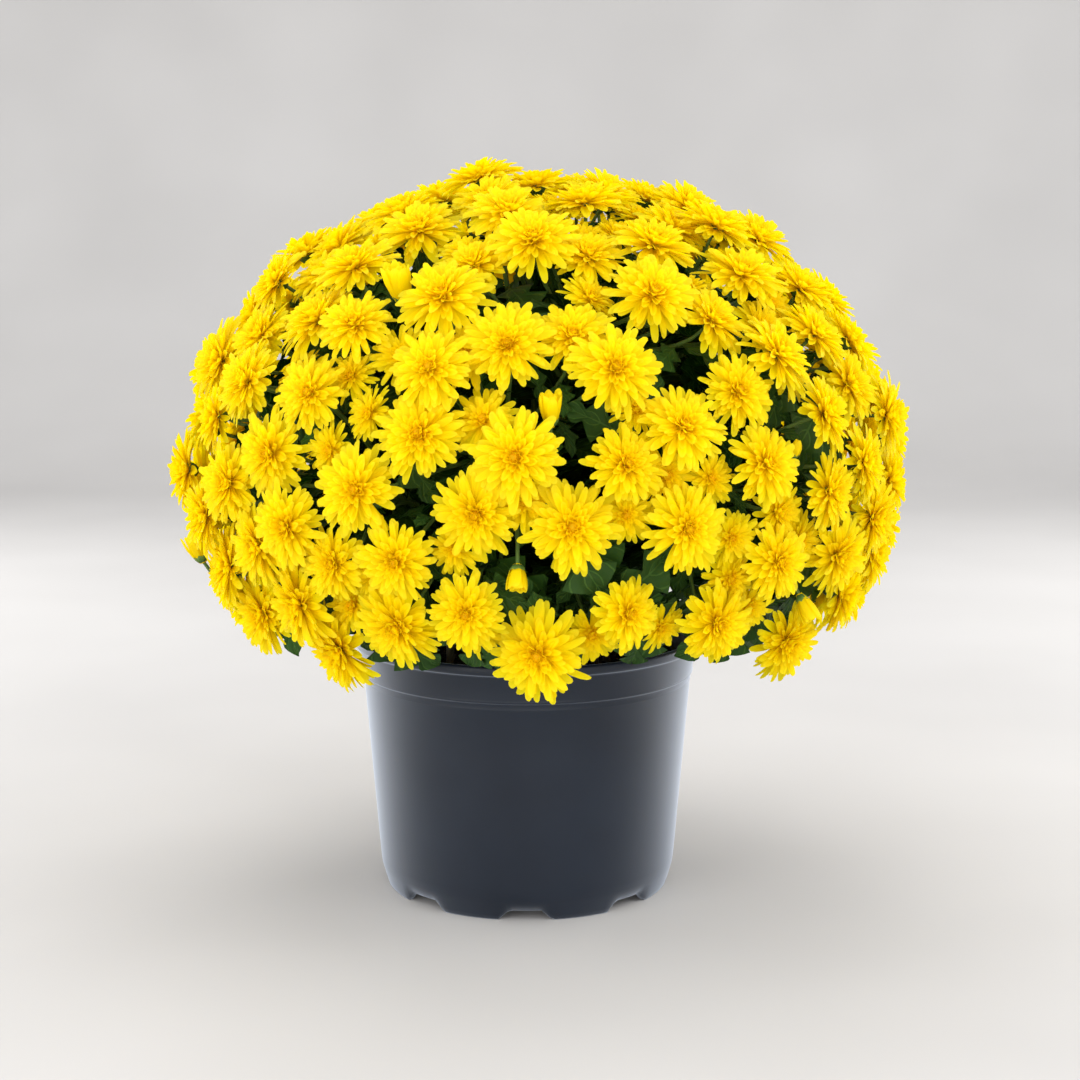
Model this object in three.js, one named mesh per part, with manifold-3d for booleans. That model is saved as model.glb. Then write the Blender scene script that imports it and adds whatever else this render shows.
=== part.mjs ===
// A pot chrysanthemum: a dome of double yellow blooms on leafy stems, rooted in a round nursery pot.
// Millimetres, +Z up, the front towards -Y. The origin is on the ground below the middle of the dome.
// Azimuths are degrees round from the front towards +X, polar angles are degrees down from the top.

import * as THREE from "three";
import { mergeVertices } from "three/addons/utils/BufferGeometryUtils.js";
import Module from "manifold-3d";

const wasm = await Module();
wasm.setup();

// ---- Driving dimensions ----

const CLEARANCE = 0.3; // between pieces that touch on the real plant

const POT = {
  x: -10, // the plant leans: its dome is this much off the pot's axis
  height: 155,
  lipRadius: 105.5,
  lipHeight: 6,
  ringHeight: 133, // the step moulded round the wall
  ringRadius: 101.5,
  step: 1.5, // how far the step stands out
  wall: 1.6,
  baseRadius: 90,
  baseHeight: 14, // where the rounding down to the feet begins
  footRadius: 86,
  footWidth: 4,
  floorHeight: 7.5,
  floor: 2,
  sides: 48,
  feet: 8,
  footTurn: -23, // azimuth of the middle of the first foot
  notchHeight: 6,
};
const DRAIN = { count: 4, radius: 5, ring: 48, sides: 8 };

const SOIL = { rim: 136, crown: 141, sides: 24, shrink: 1.3 }; // it has shrunk a little from the wall

// The middle's height, how far the dome reaches from it out, up and down, the polar angle of its lowest
// blooms and how many degrees these nod from straight up.
const CANOPY = { middle: 256, reach: 207, rise: 169, drop: 165, lowest: 119, nod: 108 };
const LATTICE = 186; // blooms that would cover the whole dome evenly
const SPRAYS = 24;
const SPRAY_STEP = 22; // the smaller this is, the less a spray strides across a gap
const LONGEST_REST = 54; // a petal that joins a bloom to its host is no longer than this

const BLOOM = {
  radius: 25, // of a middling bloom
  variation: 2, // more or less, from bloom to bloom
  halfDepth: 7.5,
  lean: 0.1,
  petals: 7, // in each of the two layers
  rootRadius: 0.86, // these are shares of the bloom's radius
  innerRadius: 0.48,
  innerHeight: 8,
  heartHeight: 4,
  baseDepth: 7,
  rest: 4, // a neighbour's petal ends at most this far from the middle of the heart
  restDepths: [3.5, 1.5, 5.5, -1],
};

// The large blooms of the face: azimuth, polar angle, radius.
const FACE_BLOOMS = [
  [-17, 40, 22], [11, 38, 22], [21, 50, 25.5], [5, 57, 23], [-6, 60, 24.5], [-35, 57, 22.5],
  [-18, 65, 23.5], [11, 65, 25.5], [-40, 70, 22.5], [32, 69, 22], [-19, 76, 25.5], [21, 75, 24],
  [-4, 80, 26.5], [12, 81, 22.5], [-10, 90, 24.5], [4, 92, 25.5], [21, 93, 24.5], [49, 89, 22.5],
  [-22, 99, 23], [-34, 101, 21.5], [38, 101, 22], [-12, 109, 22], [13, 109, 20.5], [-1, 118, 27],
];

// Gaps in the blooms that show the leaves: azimuth, polar angle, radius.
const WINDOWS = [
  [-53, 39, 7], [-29, 46, 8], [-3, 47, 10], [4, 70, 11], [22, 62, 7], [-55, 79, 9],
  [5, 102, 9], [-20, 88, 4], [-34, 93, 4], [43, 81, 11], [23, 102, 6],
];
const WINDOW_TURNS = [0, 120, 240]; // the same gaps again on the other sides

// How the blooms settle beside each other.
const SETTLING = {
  steps: 160,
  rounds: 3, // of moving strays to other sprays
  pace: 0.3,
  together: 0.9, // how close blooms of one spray come, where 1 is touching
  apart: 1.06, // and those of two sprays
  crowded: 0.65, // no bloom starts this close to one of the face
  deepest: -20,
  proudest: 7,
};
const REST_CLIMB = 0.1; // a resting petal climbs no more than this share of its way

// Half-open blooms and buds: azimuth, polar angle, radius, half length, height above the dome, and how
// steeply they stand up, or hang where it is negative, against the way that a bloom there faces.
const BUDS = [
  [1, 71, 6.5, 10, -4, 2.5], [-4, 102, 7, 8, -4, -1.8], [43, 80, 4, 6, -6, 2.5], [-84, 106, 7, 10, 8, 2.3],
  [48, 112, 6, 9, 2, -1.3], [-31, 47, 8, 13, 0, 1.2], [-84, 9, 5, 7, 2, -0.8], [-86, 67, 6, 9, 0, 0.8],
];

const BUD_OUTLINE = [[-1, 0.35], [-0.1, 1], [0.65, 0.8], [1, 0.25]]; // share of its height, of its radius
const BUD_TWIST = 0.18;
const BUD_SIDES = 6;

const STEM = {
  radius: 2.3,
  forkRadius: 1.8,
  sides: 4,
  buried: 27,
  rooting: 74, // the outermost stems leave the soil this far from the pot's axis
  arch: 40,
  fork: 0.62, // share of the way from the dome's middle to the spray
  leafNodes: [0.18, 0.36, 0.5, 0.64], // shares of the way from the soil to the fork
  forkNodes: [0.73, 0.8, 0.87, 0.94, 1],
};
const CALYX = { radius: 1.6, gap: 0.8 };
// A stalk that can't run straight bends a little or far below its head, or ends short of it: how far below
// it bends, and the gap it leaves.
const STALKS = [[0, 0.8], [4, 0.8], [10, 0.8], [20, 0.8], [32, 0.8], [0, 4], [10, 4], [20, 6]];
const TOUCH = 0.02; // cubic millimetres that two growths share where they leave the same stem
const GRAZE = 0.002; // cubic millimetres that a stalk may share with a bloom

const LEAF = {
  length: 54,
  slender: 0.62, // its half width's share of its length
  spread: 0.9, // out from the stem, against its rise along it
  rise: 0.4,
  ridge: 0.8, // half its thickness at the rib
  arch: 0.3,
  cup: 0.18,
  perStem: 4,
  tries: 30,
};
const LEAF_EDGE = [[0.26, -0.38], [0.4, -0.16], [0.64, -0.5], [0.74, -0.16]]; // lobes and the bays between
const LEAF_RIB = [0.33, 0.68];

// ---- Colours ----

const POT_PLASTIC = new THREE.MeshStandardMaterial({ color: 0x34383f, roughness: 0.45, metalness: 0 });
const PEAT = new THREE.MeshStandardMaterial({ color: 0x2c2119, roughness: 1, metalness: 0 });
const FOLIAGE = new THREE.MeshStandardMaterial({ color: 0x2b5222, roughness: 0.6, metalness: 0 });
const PETAL = new THREE.MeshStandardMaterial({ color: 0xffd800, roughness: 0.55, metalness: 0 });

// ---- Small tools ----

const { cos, sin, sqrt, hypot, min, max, floor, PI } = Math;
const GOLDEN_ANGLE = 360 * (1 - 2 / (1 + sqrt(5)));
const vec = (x, y, z) => new THREE.Vector3(x, y, z);
const rad = (degrees) => (degrees * PI) / 180;

// A number from 0 to 1 that looks random but is always the same for an index and a stream.
function chance(index, stream) {
  const spun = sin(index * 12.9898 + stream * 78.233 + 0.5) * 43758.5453;
  return spun - floor(spun);
}

const between = (low, high, index, stream) => low + (high - low) * chance(index, stream);

// A mesh from its points and its triangles, which turn anticlockwise seen from outside.
function faceted(points, faces) {
  return new THREE.BufferGeometry()
    .setAttribute("position", new THREE.Float32BufferAttribute(points.flatMap((p) => p.toArray()), 3))
    .setIndex(faces.flat());
}

function solidOf(geometry) {
  const bare = geometry.clone();
  bare.deleteAttribute("normal");
  bare.deleteAttribute("uv");
  const merged = mergeVertices(bare, 1e-4);
  const vertProperties = merged.attributes.position.array;
  const triVerts = new Uint32Array(merged.index.array);
  return new wasm.Manifold(new wasm.Mesh({ numProp: 3, vertProperties, triVerts }));
}

function geometryOf(solid) {
  const mesh = solid.getMesh();
  return new THREE.BufferGeometry()
    .setAttribute("position", new THREE.BufferAttribute(mesh.vertProperties, 3))
    .setIndex(new THREE.BufferAttribute(mesh.triVerts, 1));
}

const fused = (solids) => solids.reduce((whole, next) => whole.add(next));

// A closed tube through rings of the same number of points, as points and triangles.
function tube(rings) {
  const sides = rings[0].length;
  const faces = [];
  for (let ring = 0; ring + 1 < rings.length; ring++) {
    for (let side = 0; side < sides; side++) {
      const a = ring * sides + side;
      const b = ring * sides + ((side + 1) % sides);
      faces.push([a, b, b + sides], [a, b + sides, a + sides]);
    }
  }
  const last = (rings.length - 1) * sides;
  for (let side = 1; side + 1 < sides; side++) {
    faces.push([0, side + 1, side], [last, last + side, last + side + 1]);
  }
  return { points: rings.flat(), faces };
}

const meshSolid = ({ points, faces }) => solidOf(faceted(points, faces));

// The points of a regular ring round a centre, square to an axis, with its first point towards side.
function ringAt(centre, axis, side, radius, sides) {
  const along = side.clone().addScaledVector(axis, -side.dot(axis)).normalize();
  const across = axis.clone().cross(along);
  return Array.from({ length: sides }, (_, k) => {
    const turn = (2 * PI * k) / sides;
    const outwards = along.clone().multiplyScalar(cos(turn)).addScaledVector(across, sin(turn));
    return centre.clone().addScaledVector(outwards, radius);
  });
}

// ---- The dome that the blooms lie on ----

// The point of the dome at an azimuth and a polar angle, moved out or in by a share of its reach.
function onDome(azimuth, polar, share = 1) {
  const across = share * CANOPY.reach * sin(rad(polar));
  const up = share * cos(rad(polar)) * (polar < 90 ? CANOPY.rise : CANOPY.drop);
  return vec(across * sin(rad(azimuth)), -across * cos(rad(azimuth)), CANOPY.middle + up);
}

// A point's share of the dome's reach, which is 1 on the dome, and its polar angle.
function domeShare(point) {
  const up = (point.z - CANOPY.middle) / (point.z > CANOPY.middle ? CANOPY.rise : CANOPY.drop);
  const across = hypot(point.x, point.y) / CANOPY.reach;
  return { share: hypot(up, across), polar: (Math.atan2(across, up) * 180) / PI };
}

// Evenly spaced places on the dome from its top to a polar angle: a spiral of equal areas.
function spiral(count, lowest) {
  return Array.from({ length: count }, (_, k) => {
    const height = 1 - ((1 - cos(rad(lowest))) * (k + 0.5)) / count;
    return [(k * GOLDEN_ANGLE) % 360, (Math.acos(height) * 180) / PI];
  });
}

// The way a bloom faces: straight up at the top, and a little below level at the dome's foot.
function facing(point, lean) {
  const elevation = rad(90 - (domeShare(point).polar * CANOPY.nod) / CANOPY.lowest);
  const outward = hypot(point.x, point.y) + 1e-6;
  const level = cos(elevation) / outward;
  return vec(point.x * level, point.y * level, sin(elevation)).add(lean).normalize();
}

const allWindows = WINDOW_TURNS.flatMap((turn) =>
  WINDOWS.map(([azimuth, polar, radius]) => ({ at: onDome(azimuth + turn, polar), radius })),
);

// ---- Where each bloom is ----

function newBloom(at, index, radius, extra = {}) {
  const lean = vec(...[1, 2, 3].map((stream) => between(-BLOOM.lean, BLOOM.lean, index, stream)));
  return { at, lean, radius, halfDepth: BLOOM.halfDepth, height: 0, fixed: false, bud: false, ...extra };
}

function firstPlaces() {
  const blooms = FACE_BLOOMS.map(([azimuth, polar, radius], index) =>
    newBloom(onDome(azimuth, polar), index, radius, { fixed: true }),
  );
  const buds = BUDS.map(([azimuth, polar, radius, halfDepth, height, rise], index) => {
    const extra = { halfDepth, height, rise, fixed: true, bud: true };
    return newBloom(onDome(azimuth, polar), 400 + index, radius, extra);
  });
  const nearness = (other, at) => other.at.distanceTo(at) / (other.radius + BLOOM.radius);
  spiral(LATTICE, CANOPY.lowest).forEach(([azimuth, polar], index) => {
    const at = onDome(azimuth, polar);
    const crowded = blooms.some((other) => other.fixed && nearness(other, at) < SETTLING.crowded);
    const inWindow = allWindows.some((gap) => gap.at.distanceTo(at) < gap.radius);
    if (crowded || inWindow) return;
    const variation = BLOOM.variation;
    const radius = BLOOM.radius + between(-variation, variation, index, 4);
    blooms.push(newBloom(at, 100 + index, radius));
  });
  return [...blooms, ...buds];
}

// The sprays grow bloom by bloom, each from the bloom nearest to its middle: the bloom that is nearest to
// a spray's blooms and to its middle joins it next. A bud is in no spray, but hangs on the nearest.
function sortIntoSprays(heads) {
  const middles = spiral(SPRAYS, CANOPY.lowest - 6).map(([azimuth, polar]) => onDome(azimuth, polar));
  const nearest = (point, list) =>
    list.reduce((best, next) => (next.at.distanceTo(point) < best.at.distanceTo(point) ? next : best));
  const waiting = new Set(heads.filter((head) => !head.bud));
  const offers = new Map([...waiting].map((bloom) => [bloom, { cost: Infinity }]));
  const join = (bloom, spray) => {
    bloom.spray = spray;
    waiting.delete(bloom);
    for (const other of waiting) {
      const step = other.at.distanceTo(bloom.at);
      const cost = (step * step) / SPRAY_STEP + other.at.distanceTo(middles[spray]);
      if (cost < offers.get(other).cost) offers.set(other, { cost, spray });
    }
  };
  middles.forEach((middle, spray) => join(nearest(middle, [...waiting]), spray));
  while (waiting.size) {
    const cost = (bloom) => offers.get(bloom).cost;
    const next = [...waiting].reduce((best, bloom) => (cost(bloom) < cost(best) ? bloom : best));
    join(next, offers.get(next).spray);
  }
  const blooms = heads.filter((head) => !head.bud);
  for (const bud of heads.filter((head) => head.bud)) bud.spray = nearest(bud.at, blooms).spray;
}

// A bloom that has to reach too far to rest in its own spray moves to the spray of a nearer bloom.
function moveStrays(heads) {
  const blooms = heads.filter((head) => !head.bud);
  for (let index = 0; index < SPRAYS; index++) {
    const joined = joinSpray(blooms.filter((bloom) => bloom.spray === index));
    const strays = joined.filter(({ at, host }) => host && at.distanceTo(host.at) > LONGEST_REST);
    for (const stray of strays) {
      const hosts = blooms.filter((other) => other !== stray && other.spray !== index);
      const cost = (host) => restCost(stray, host);
      stray.spray = hosts.reduce((best, next) => (cost(next) < cost(best) ? next : best)).spray;
    }
  }
}

// How far two blooms are apart, where 1 means that their flattened round outlines touch, and the way to
// part them.
function spacing(one, other) {
  const apart = one.at.clone().sub(other.at);
  const axis = one.axis.clone().add(other.axis).normalize();
  const deep = apart.dot(axis);
  const flat = apart.addScaledVector(axis, -deep);
  const wide = (one.radius + other.radius) ** 2;
  const thick = (one.halfDepth + other.halfDepth) ** 2;
  const share = sqrt(flat.lengthSq() / wide + (deep * deep) / thick) + 1e-9;
  return { share, way: flat.divideScalar(wide).addScaledVector(axis, deep / thick) };
}

// The blooms push each other and the windows clear until they lie as close as blooms do, at different
// depths.
function settle(heads, steps) {
  for (let step = 0; step < steps; step++) {
    for (const head of heads) head.axis = facing(head.at, head.lean);
    const moves = heads.map(() => vec(0, 0, 0));
    for (let i = 0; i < heads.length; i++) {
      for (let j = i + 1; j < heads.length; j++) {
        const { share, way } = spacing(heads[i], heads[j]);
        const sameSpray = heads[i].spray === heads[j].spray && !heads[i].bud && !heads[j].bud;
        const needed = sameSpray ? SETTLING.together : SETTLING.apart;
        if (share >= needed) continue;
        const push = (SETTLING.pace * (needed - share) * share) / way.lengthSq();
        moves[i].addScaledVector(way, push);
        moves[j].addScaledVector(way, -push);
      }
    }
    heads.forEach((head, i) => {
      for (const gap of allWindows) {
        const away = head.at.clone().sub(gap.at);
        away.addScaledVector(head.axis, -away.dot(head.axis));
        const short = gap.radius + 0.8 * head.radius - away.length();
        if (short > 0 && !head.bud && head.at.distanceTo(gap.at) < 60) {
          moves[i].addScaledVector(away.normalize(), SETTLING.pace * short);
        }
      }
      const start = head.at.clone();
      head.at.add(moves[i]);
      const { share } = domeShare(head.at);
      const outward = head.at.clone().sub(vec(0, 0, CANOPY.middle));
      const height = outward.length() * (1 - 1 / share) - head.height;
      const excess = height - min(max(height * 0.97, SETTLING.deepest), SETTLING.proudest);
      head.at.addScaledVector(outward.normalize(), -excess);
      if (head.fixed) {
        const shift = head.at.clone().sub(start);
        head.at.copy(start).addScaledVector(head.axis, shift.dot(head.axis));
      }
    });
  }
  for (const head of heads) head.axis = facing(head.at, head.lean);
}

// What it costs a bloom to rest on a host: its distance, and much more if the petal must climb steeply.
function restCost(bloom, host) {
  const way = host.at.clone().sub(bloom.at);
  const climb = way.dot(bloom.axis);
  const level = sqrt(way.lengthSq() - climb * climb);
  return way.length() + 4 * max(0, climb - REST_CLIMB * level);
}

// In a spray each bloom but the deepest rests one petal in the heart of a bloom that is already joined,
// one that is near and doesn't stand above it.
function joinSpray(blooms) {
  const waiting = [...blooms].sort((a, b) => domeShare(a.at).share - domeShare(b.at).share);
  const joined = [waiting.shift()];
  joined[0].host = null;
  while (waiting.length) {
    let best = { cost: Infinity };
    for (const bloom of waiting) {
      for (const host of joined) {
        const cost = restCost(bloom, host);
        if (cost < best.cost) best = { cost, bloom, host };
      }
    }
    best.bloom.host = best.host;
    waiting.splice(waiting.indexOf(best.bloom), 1);
    joined.push(best.bloom);
  }
  return joined;
}

// ---- Blooms and buds ----

// Two layers of pointed petals round a heart, closed below by a shallow cone down to the calyx.
function bloomSolid(bloom, index, restDepth) {
  const { petals, rootRadius, innerRadius, innerHeight, heartHeight, baseDepth } = BLOOM;
  const { at, axis, radius, host } = bloom;
  const towards = host ? host.at.clone().sub(at) : vec(1, 0.3, 0.2);
  const along = towards.addScaledVector(axis, -towards.dot(axis)).normalize();
  const across = axis.clone().cross(along);
  const place = (turn, reach, height) => {
    const outwards = along.clone().multiplyScalar(cos(turn)).addScaledVector(across, sin(turn));
    return at.clone().addScaledVector(outwards, reach).addScaledVector(axis, height);
  };
  const droop = between(-3, 3, index, 5);
  const points = [place(0, 0, -baseDepth), place(0, 0, heartHeight)];
  const faces = [];
  for (let k = 0; k < petals; k++) {
    const turn = (2 * PI * k) / petals;
    const half = PI / petals;
    const long = radius * between(0.9, 1, index * petals + k, 6);
    points.push(place(turn - half, rootRadius * radius, 0));
    points.push(place(turn, long, droop + between(-1.5, 1.5, index * petals + k, 7)));
    points.push(place(turn + half, innerRadius * radius, innerHeight));
    const [root, tip, inner] = [2 + 3 * k, 3 + 3 * k, 4 + 3 * k];
    const next = 2 + 3 * ((k + 1) % petals);
    faces.push([root, tip, next], [root, 0, tip], [tip, 0, next]);
    faces.push([root, next, inner], [next, 1, inner], [inner, 1, root]);
  }
  if (host) points[3] = restOn(host, bloom, restDepth);
  return solidOf(faceted(points, faces));
}

// The blooms of a spray in one body. Each lays its petal on the nearest host, at the first depth, that makes
// one sound body of the two.
function bloomCluster(spray) {
  const solids = new Map();
  spray.blooms.forEach((bloom, k) => {
    const hosts = spray.blooms.slice(0, k).sort((a, b) => restCost(bloom, a) - restCost(bloom, b));
    const layOn = (host, depth) => {
      bloom.host = host;
      return bloomSolid(bloom, spray.index * 25 + k, depth);
    };
    const joins = (solid, host) => solid.add(solids.get(host)).decompose().length === 1;
    const isSound = (solid, host) => solid.volume() > 0 && joins(solid, host);
    let laid = null;
    for (const host of hosts) {
      for (const depth of BLOOM.restDepths) {
        laid ??= isSound(layOn(host, depth), host) ? layOn(host, depth) : null;
      }
    }
    solids.set(bloom, laid ?? layOn(hosts[0], 0));
  });
  return fused([...solids.values()]);
}

// A point inside a bloom's heart for a neighbour's petal to end in, clear of the neighbour's own heart.
function restOn(host, neighbour, depth) {
  const back = neighbour.at.clone().sub(host.at);
  back.addScaledVector(host.axis, -back.dot(host.axis));
  const ownHeart = 1.3 * BLOOM.rootRadius * neighbour.radius;
  const near = max(min(back.length() - ownHeart, BLOOM.rest), -BLOOM.rest);
  return host.at.clone().addScaledVector(back.normalize(), near).addScaledVector(host.axis, -depth);
}

// A half-open bloom: petals folded together into a ribbed egg, open a little at its tip.
function budSolid(bud) {
  const { at, axis, radius, halfDepth } = bud;
  const rings = BUD_OUTLINE.map(([height, width], k) => {
    const centre = at.clone().addScaledVector(axis, height * halfDepth);
    const side = vec(0.3, 1, 0.1).applyAxisAngle(axis, BUD_TWIST * k);
    return ringAt(centre, axis, side, width * radius, BUD_SIDES);
  });
  return meshSolid(tube(rings));
}

// ---- Stems, pedicels and leaves ----

// A main stem's middle line: up out of the soil, curving out to the fork below its spray.
function stemCurve(spray) {
  const { middle, index } = spray;
  const azimuth = Math.atan2(middle.y, middle.x);
  const rooting = STEM.rooting * sqrt((index + 0.5) / SPRAYS);
  const ground = vec(POT.x + rooting * cos(azimuth), rooting * sin(azimuth), SOIL.crown);
  const core = vec(0, 0, CANOPY.middle);
  const fork = core.clone().lerp(middle, STEM.fork);
  const rising = ground.clone().setZ(ground.z + 0.5 * max(fork.z - ground.z, 60));
  const arching = fork.clone().addScaledVector(middle.clone().sub(core).normalize(), -STEM.arch);
  return new THREE.CubicBezierCurve3(ground, rising, arching, fork);
}

// The ring of a head's calyx, just under the head.
function calyxRing(head, side, sides, gap = CALYX.gap) {
  const depth = (head.bud ? head.halfDepth : BLOOM.baseDepth) + gap;
  return ringAt(head.at.clone().addScaledVector(head.axis, -depth), head.axis, side, CALYX.radius, sides);
}

// A stem as points and triangles. It ends in the calyx of its first head, and each face of its upper
// stretch can carry the stalk of another head.
function stemMesh(curve, head) {
  const side = vec(1, 0, 0);
  const upright = vec(0, 0, 1);
  const buried = curve.v0.clone().setZ(curve.v0.z - STEM.buried);
  const rings = [buried, curve.v0].map((centre) => ringAt(centre, upright, side, STEM.radius, STEM.sides));
  for (const share of [...STEM.leafNodes, ...STEM.forkNodes]) {
    const radius = STEM.radius + (STEM.forkRadius - STEM.radius) * share;
    rings.push(ringAt(curve.getPoint(share), curve.getTangent(share), side, radius, STEM.sides));
  }
  rings.push(calyxRing(head, side, STEM.sides));
  return tube(rings);
}

// The triangles of a stem that have the upper edges of its faces above a ring, one for each side. Their
// corners are the lower, the right and the left one, seen from outside.
function faceCorners(mesh, ring) {
  return Array.from({ length: STEM.sides }, (_, side) => {
    const face = 2 * (ring * STEM.sides + side) + 1;
    const corners = mesh.faces[face].map((p) => mesh.points[p].clone());
    const [a, b, c] = corners;
    const normal = b.clone().sub(a).cross(c.clone().sub(a)).normalize();
    return { face, corners, normal };
  });
}

// Puts what grows from a triangle in its place. The first three points of the growth lie on its corners.
function grow(mesh, faceIndex, points, faces) {
  const base = mesh.faces[faceIndex];
  const first = mesh.points.length;
  const renumbered = faces.map((face) => face.map((p) => (p < 3 ? base[p] : first + p - 3)));
  mesh.points.push(...points);
  mesh.faces.splice(faceIndex, 1, renumbered[0]);
  mesh.faces.push(...renumbered.slice(1));
}

const boxesMeet = (a, b) => [0, 1, 2].every((k) => a.min[k] <= b.max[k] && b.min[k] <= a.max[k]);

// How much of a solid lies in others.
function sharedVolume(solid, others) {
  const box = solid.boundingBox();
  const near = others.filter((other) => boxesMeet(box, other.boundingBox()));
  return near.reduce((sum, other) => sum + Math.abs(solid.intersect(other).volume()), 0);
}

// The growth as a solid of its own, to test what it meets.
function growthSolid(corners, points, faces) {
  return solidOf(faceted([...corners, ...points], [[0, 2, 1], ...faces]));
}

// The stalk of one head, from a triangle of the stem to the calyx, turned so that it twists least. With a
// bend it first makes for a point that far below the calyx.
function pedicel(corners, head, bend, gap) {
  const middle = corners.reduce((sum, p) => sum.add(p), vec(0, 0, 0)).divideScalar(3);
  const ring = calyxRing(head, corners[0].clone().sub(middle), 3, gap);
  const travel = (turn) => corners.reduce((sum, p, k) => sum + p.distanceTo(ring[(k + turn) % 3]), 0);
  const turn = [0, 1, 2].reduce((best, next) => (travel(next) < travel(best) ? next : best));
  const calyx = corners.map((_, k) => ring[(k + turn) % 3]);
  const knee = calyx.map((p) => p.clone().addScaledVector(head.axis, -bend));
  const points = bend ? [...knee, ...calyx] : calyx;
  const faces = [];
  for (let low = 0; low < points.length; low += 3) {
    faces.push([low, low + 1, low + 4], [low, low + 4, low + 3], [low + 1, low + 2, low + 5]);
    faces.push([low + 1, low + 5, low + 4], [low + 2, low, low + 3], [low + 2, low + 3, low + 5]);
  }
  const end = points.length;
  return { points, faces: [...faces, [end, end + 1, end + 2]] };
}

// A lobed leaf from a triangle of the stem, whose corners are its lower, right and left ones.
function leaf(corners, along, length) {
  const [lower, right, left] = corners;
  const root = right.clone().add(left).divideScalar(2);
  const across = left.clone().sub(right);
  across.addScaledVector(along, -across.dot(along)).normalize();
  const upper = across.clone().cross(along).negate();
  const width = LEAF.slender * length;
  const place = ([x, y], raise) => {
    const arch = LEAF.arch * length * (x - 1.5 * x * x);
    const cup = LEAF.cup * width * Math.abs(y);
    const onPlane = root.clone().addScaledVector(along, x * length).addScaledVector(across, y * width);
    return onPlane.addScaledVector(upper, raise + arch + cup);
  };
  const outline = [...LEAF_EDGE, [1, 0], ...[...LEAF_EDGE].reverse().map(([x, y]) => [x, -y])];
  const tip = 3 + LEAF_EDGE.length;
  const last = 2 + outline.length;
  const points = [
    ...outline.map((corner) => place(corner, 0)),
    ...LEAF_RIB.map((x) => place([x, 0], LEAF.ridge)),
    ...LEAF_RIB.map((x) => place([x, 0], -LEAF.ridge)),
  ];
  const [near, far] = [last + 1, last + 2];
  const under = LEAF_RIB.length;
  const half = [[near, 3, 4], [near, 4, far], [far, 4, 5], [far, 5, 6], [far, 6, tip]];
  const mirror = (p) => (p >= near || p === tip ? p : last + 3 - p);
  const upperFaces = [
    [2, 3, near],
    [last, 1, near],
    [1, 2, near],
    ...half,
    ...half.map(([a, b, c]) => [mirror(a), mirror(c), mirror(b)]),
  ];
  const lowerFaces = upperFaces
    .filter(([a, b]) => a !== 1 || b !== 2)
    .map((face) => [face[0], face[2], face[1]].map((p) => (p >= near ? p + under : p)));
  const closing = [[0, 1, near + under], [2, 0, near + under]];
  return { points, faces: [...upperFaces, ...lowerFaces, ...closing] };
}

// How far a head lies to the side of the line in which its stem ends.
function offAxis(curve, head) {
  const axis = curve.getTangent(1);
  const way = head.at.clone().sub(curve.getPoint(1));
  return way.addScaledVector(axis, -way.dot(axis));
}

// Grows the stalks of a spray's heads. The heads furthest out to the side come first and try the lowest
// faces of the fork first, and each takes the first face from which its stalk passes clear of the others.
function growStalks(stem, heads, obstacles) {
  const { curve, mesh } = stem;
  const rings = Array.from({ length: STEM.forkNodes.length + 2 }, (_, k) => STEM.leafNodes.length - 1 + k);
  const free = rings.flatMap((ring) => faceCorners(mesh, ring));
  const reach = (head) => offAxis(curve, head).length();
  for (const head of [...heads].sort((a, b) => reach(b) - reach(a))) {
    const way = offAxis(curve, head).normalize();
    const tryOut = (place, bend, gap) => {
      if (place.normal.dot(way) < (bend ? -0.3 : 0.05)) return null;
      const { points, faces } = pedicel(place.corners, head, bend, gap);
      const solid = growthSolid(place.corners, points, faces);
      if (solid.volume() < 0 || sharedVolume(solid, obstacles) > GRAZE) return null;
      if (sharedVolume(solid, [stem.bare, ...stem.growths]) > TOUCH) return null;
      return { place, points, faces, solid };
    };
    const tries = STALKS.flatMap(([bend, gap]) => free.map((place) => [place, bend, gap]));
    const fit = tries.reduce((found, next) => found ?? tryOut(...next), null);
    if (!fit) throw new Error("a head of spray " + (stem.index + 1) + " has no way for its stalk");
    free.splice(free.indexOf(fit.place), 1);
    stem.taken.add(fit.place.face);
    stem.growths.push(fit.solid);
    grow(mesh, fit.place.face, fit.points, fit.faces);
  }
}

// Grows leaves from the stem's lower nodes, one after the other round it, where nothing is in their way.
function growLeaves(stem, obstacles) {
  const nodes = STEM.leafNodes.length - 1;
  let placed = 0;
  for (let attempt = 0; attempt < LEAF.tries && placed < LEAF.perStem; attempt++) {
    const ring = 2 + ((2 * attempt + stem.index) % nodes);
    const side = (3 * attempt + stem.index + floor(attempt / 4)) % STEM.sides;
    const place = faceCorners(stem.mesh, ring)[side];
    if (stem.taken.has(place.face)) continue;
    const [lower, right, left] = place.corners;
    const upwards = right.clone().add(left).divideScalar(2).sub(lower).normalize();
    const along = place.normal.multiplyScalar(LEAF.spread).addScaledVector(upwards, LEAF.rise).normalize();
    const length = LEAF.length * between(0.75, 1.1, stem.index * 20 + attempt, 8);
    const { points, faces } = leaf(place.corners, along, length);
    const solid = growthSolid(place.corners, points, faces);
    if (sharedVolume(solid, obstacles) > 0) continue;
    if (sharedVolume(solid, [stem.bare, ...stem.growths]) > TOUCH) continue;
    stem.taken.add(place.face);
    stem.growths.push(solid);
    grow(stem.mesh, place.face, points, faces);
    placed++;
  }
}

// ---- The pot and what fills it ----

// The wall's outer radius at a height, tapering from the moulded step down to the rounded base.
function wallRadius(z) {
  const share = (z - POT.baseHeight) / (POT.ringHeight - POT.baseHeight);
  return POT.baseRadius + (POT.ringRadius - POT.step - POT.baseRadius) * share;
}

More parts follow.
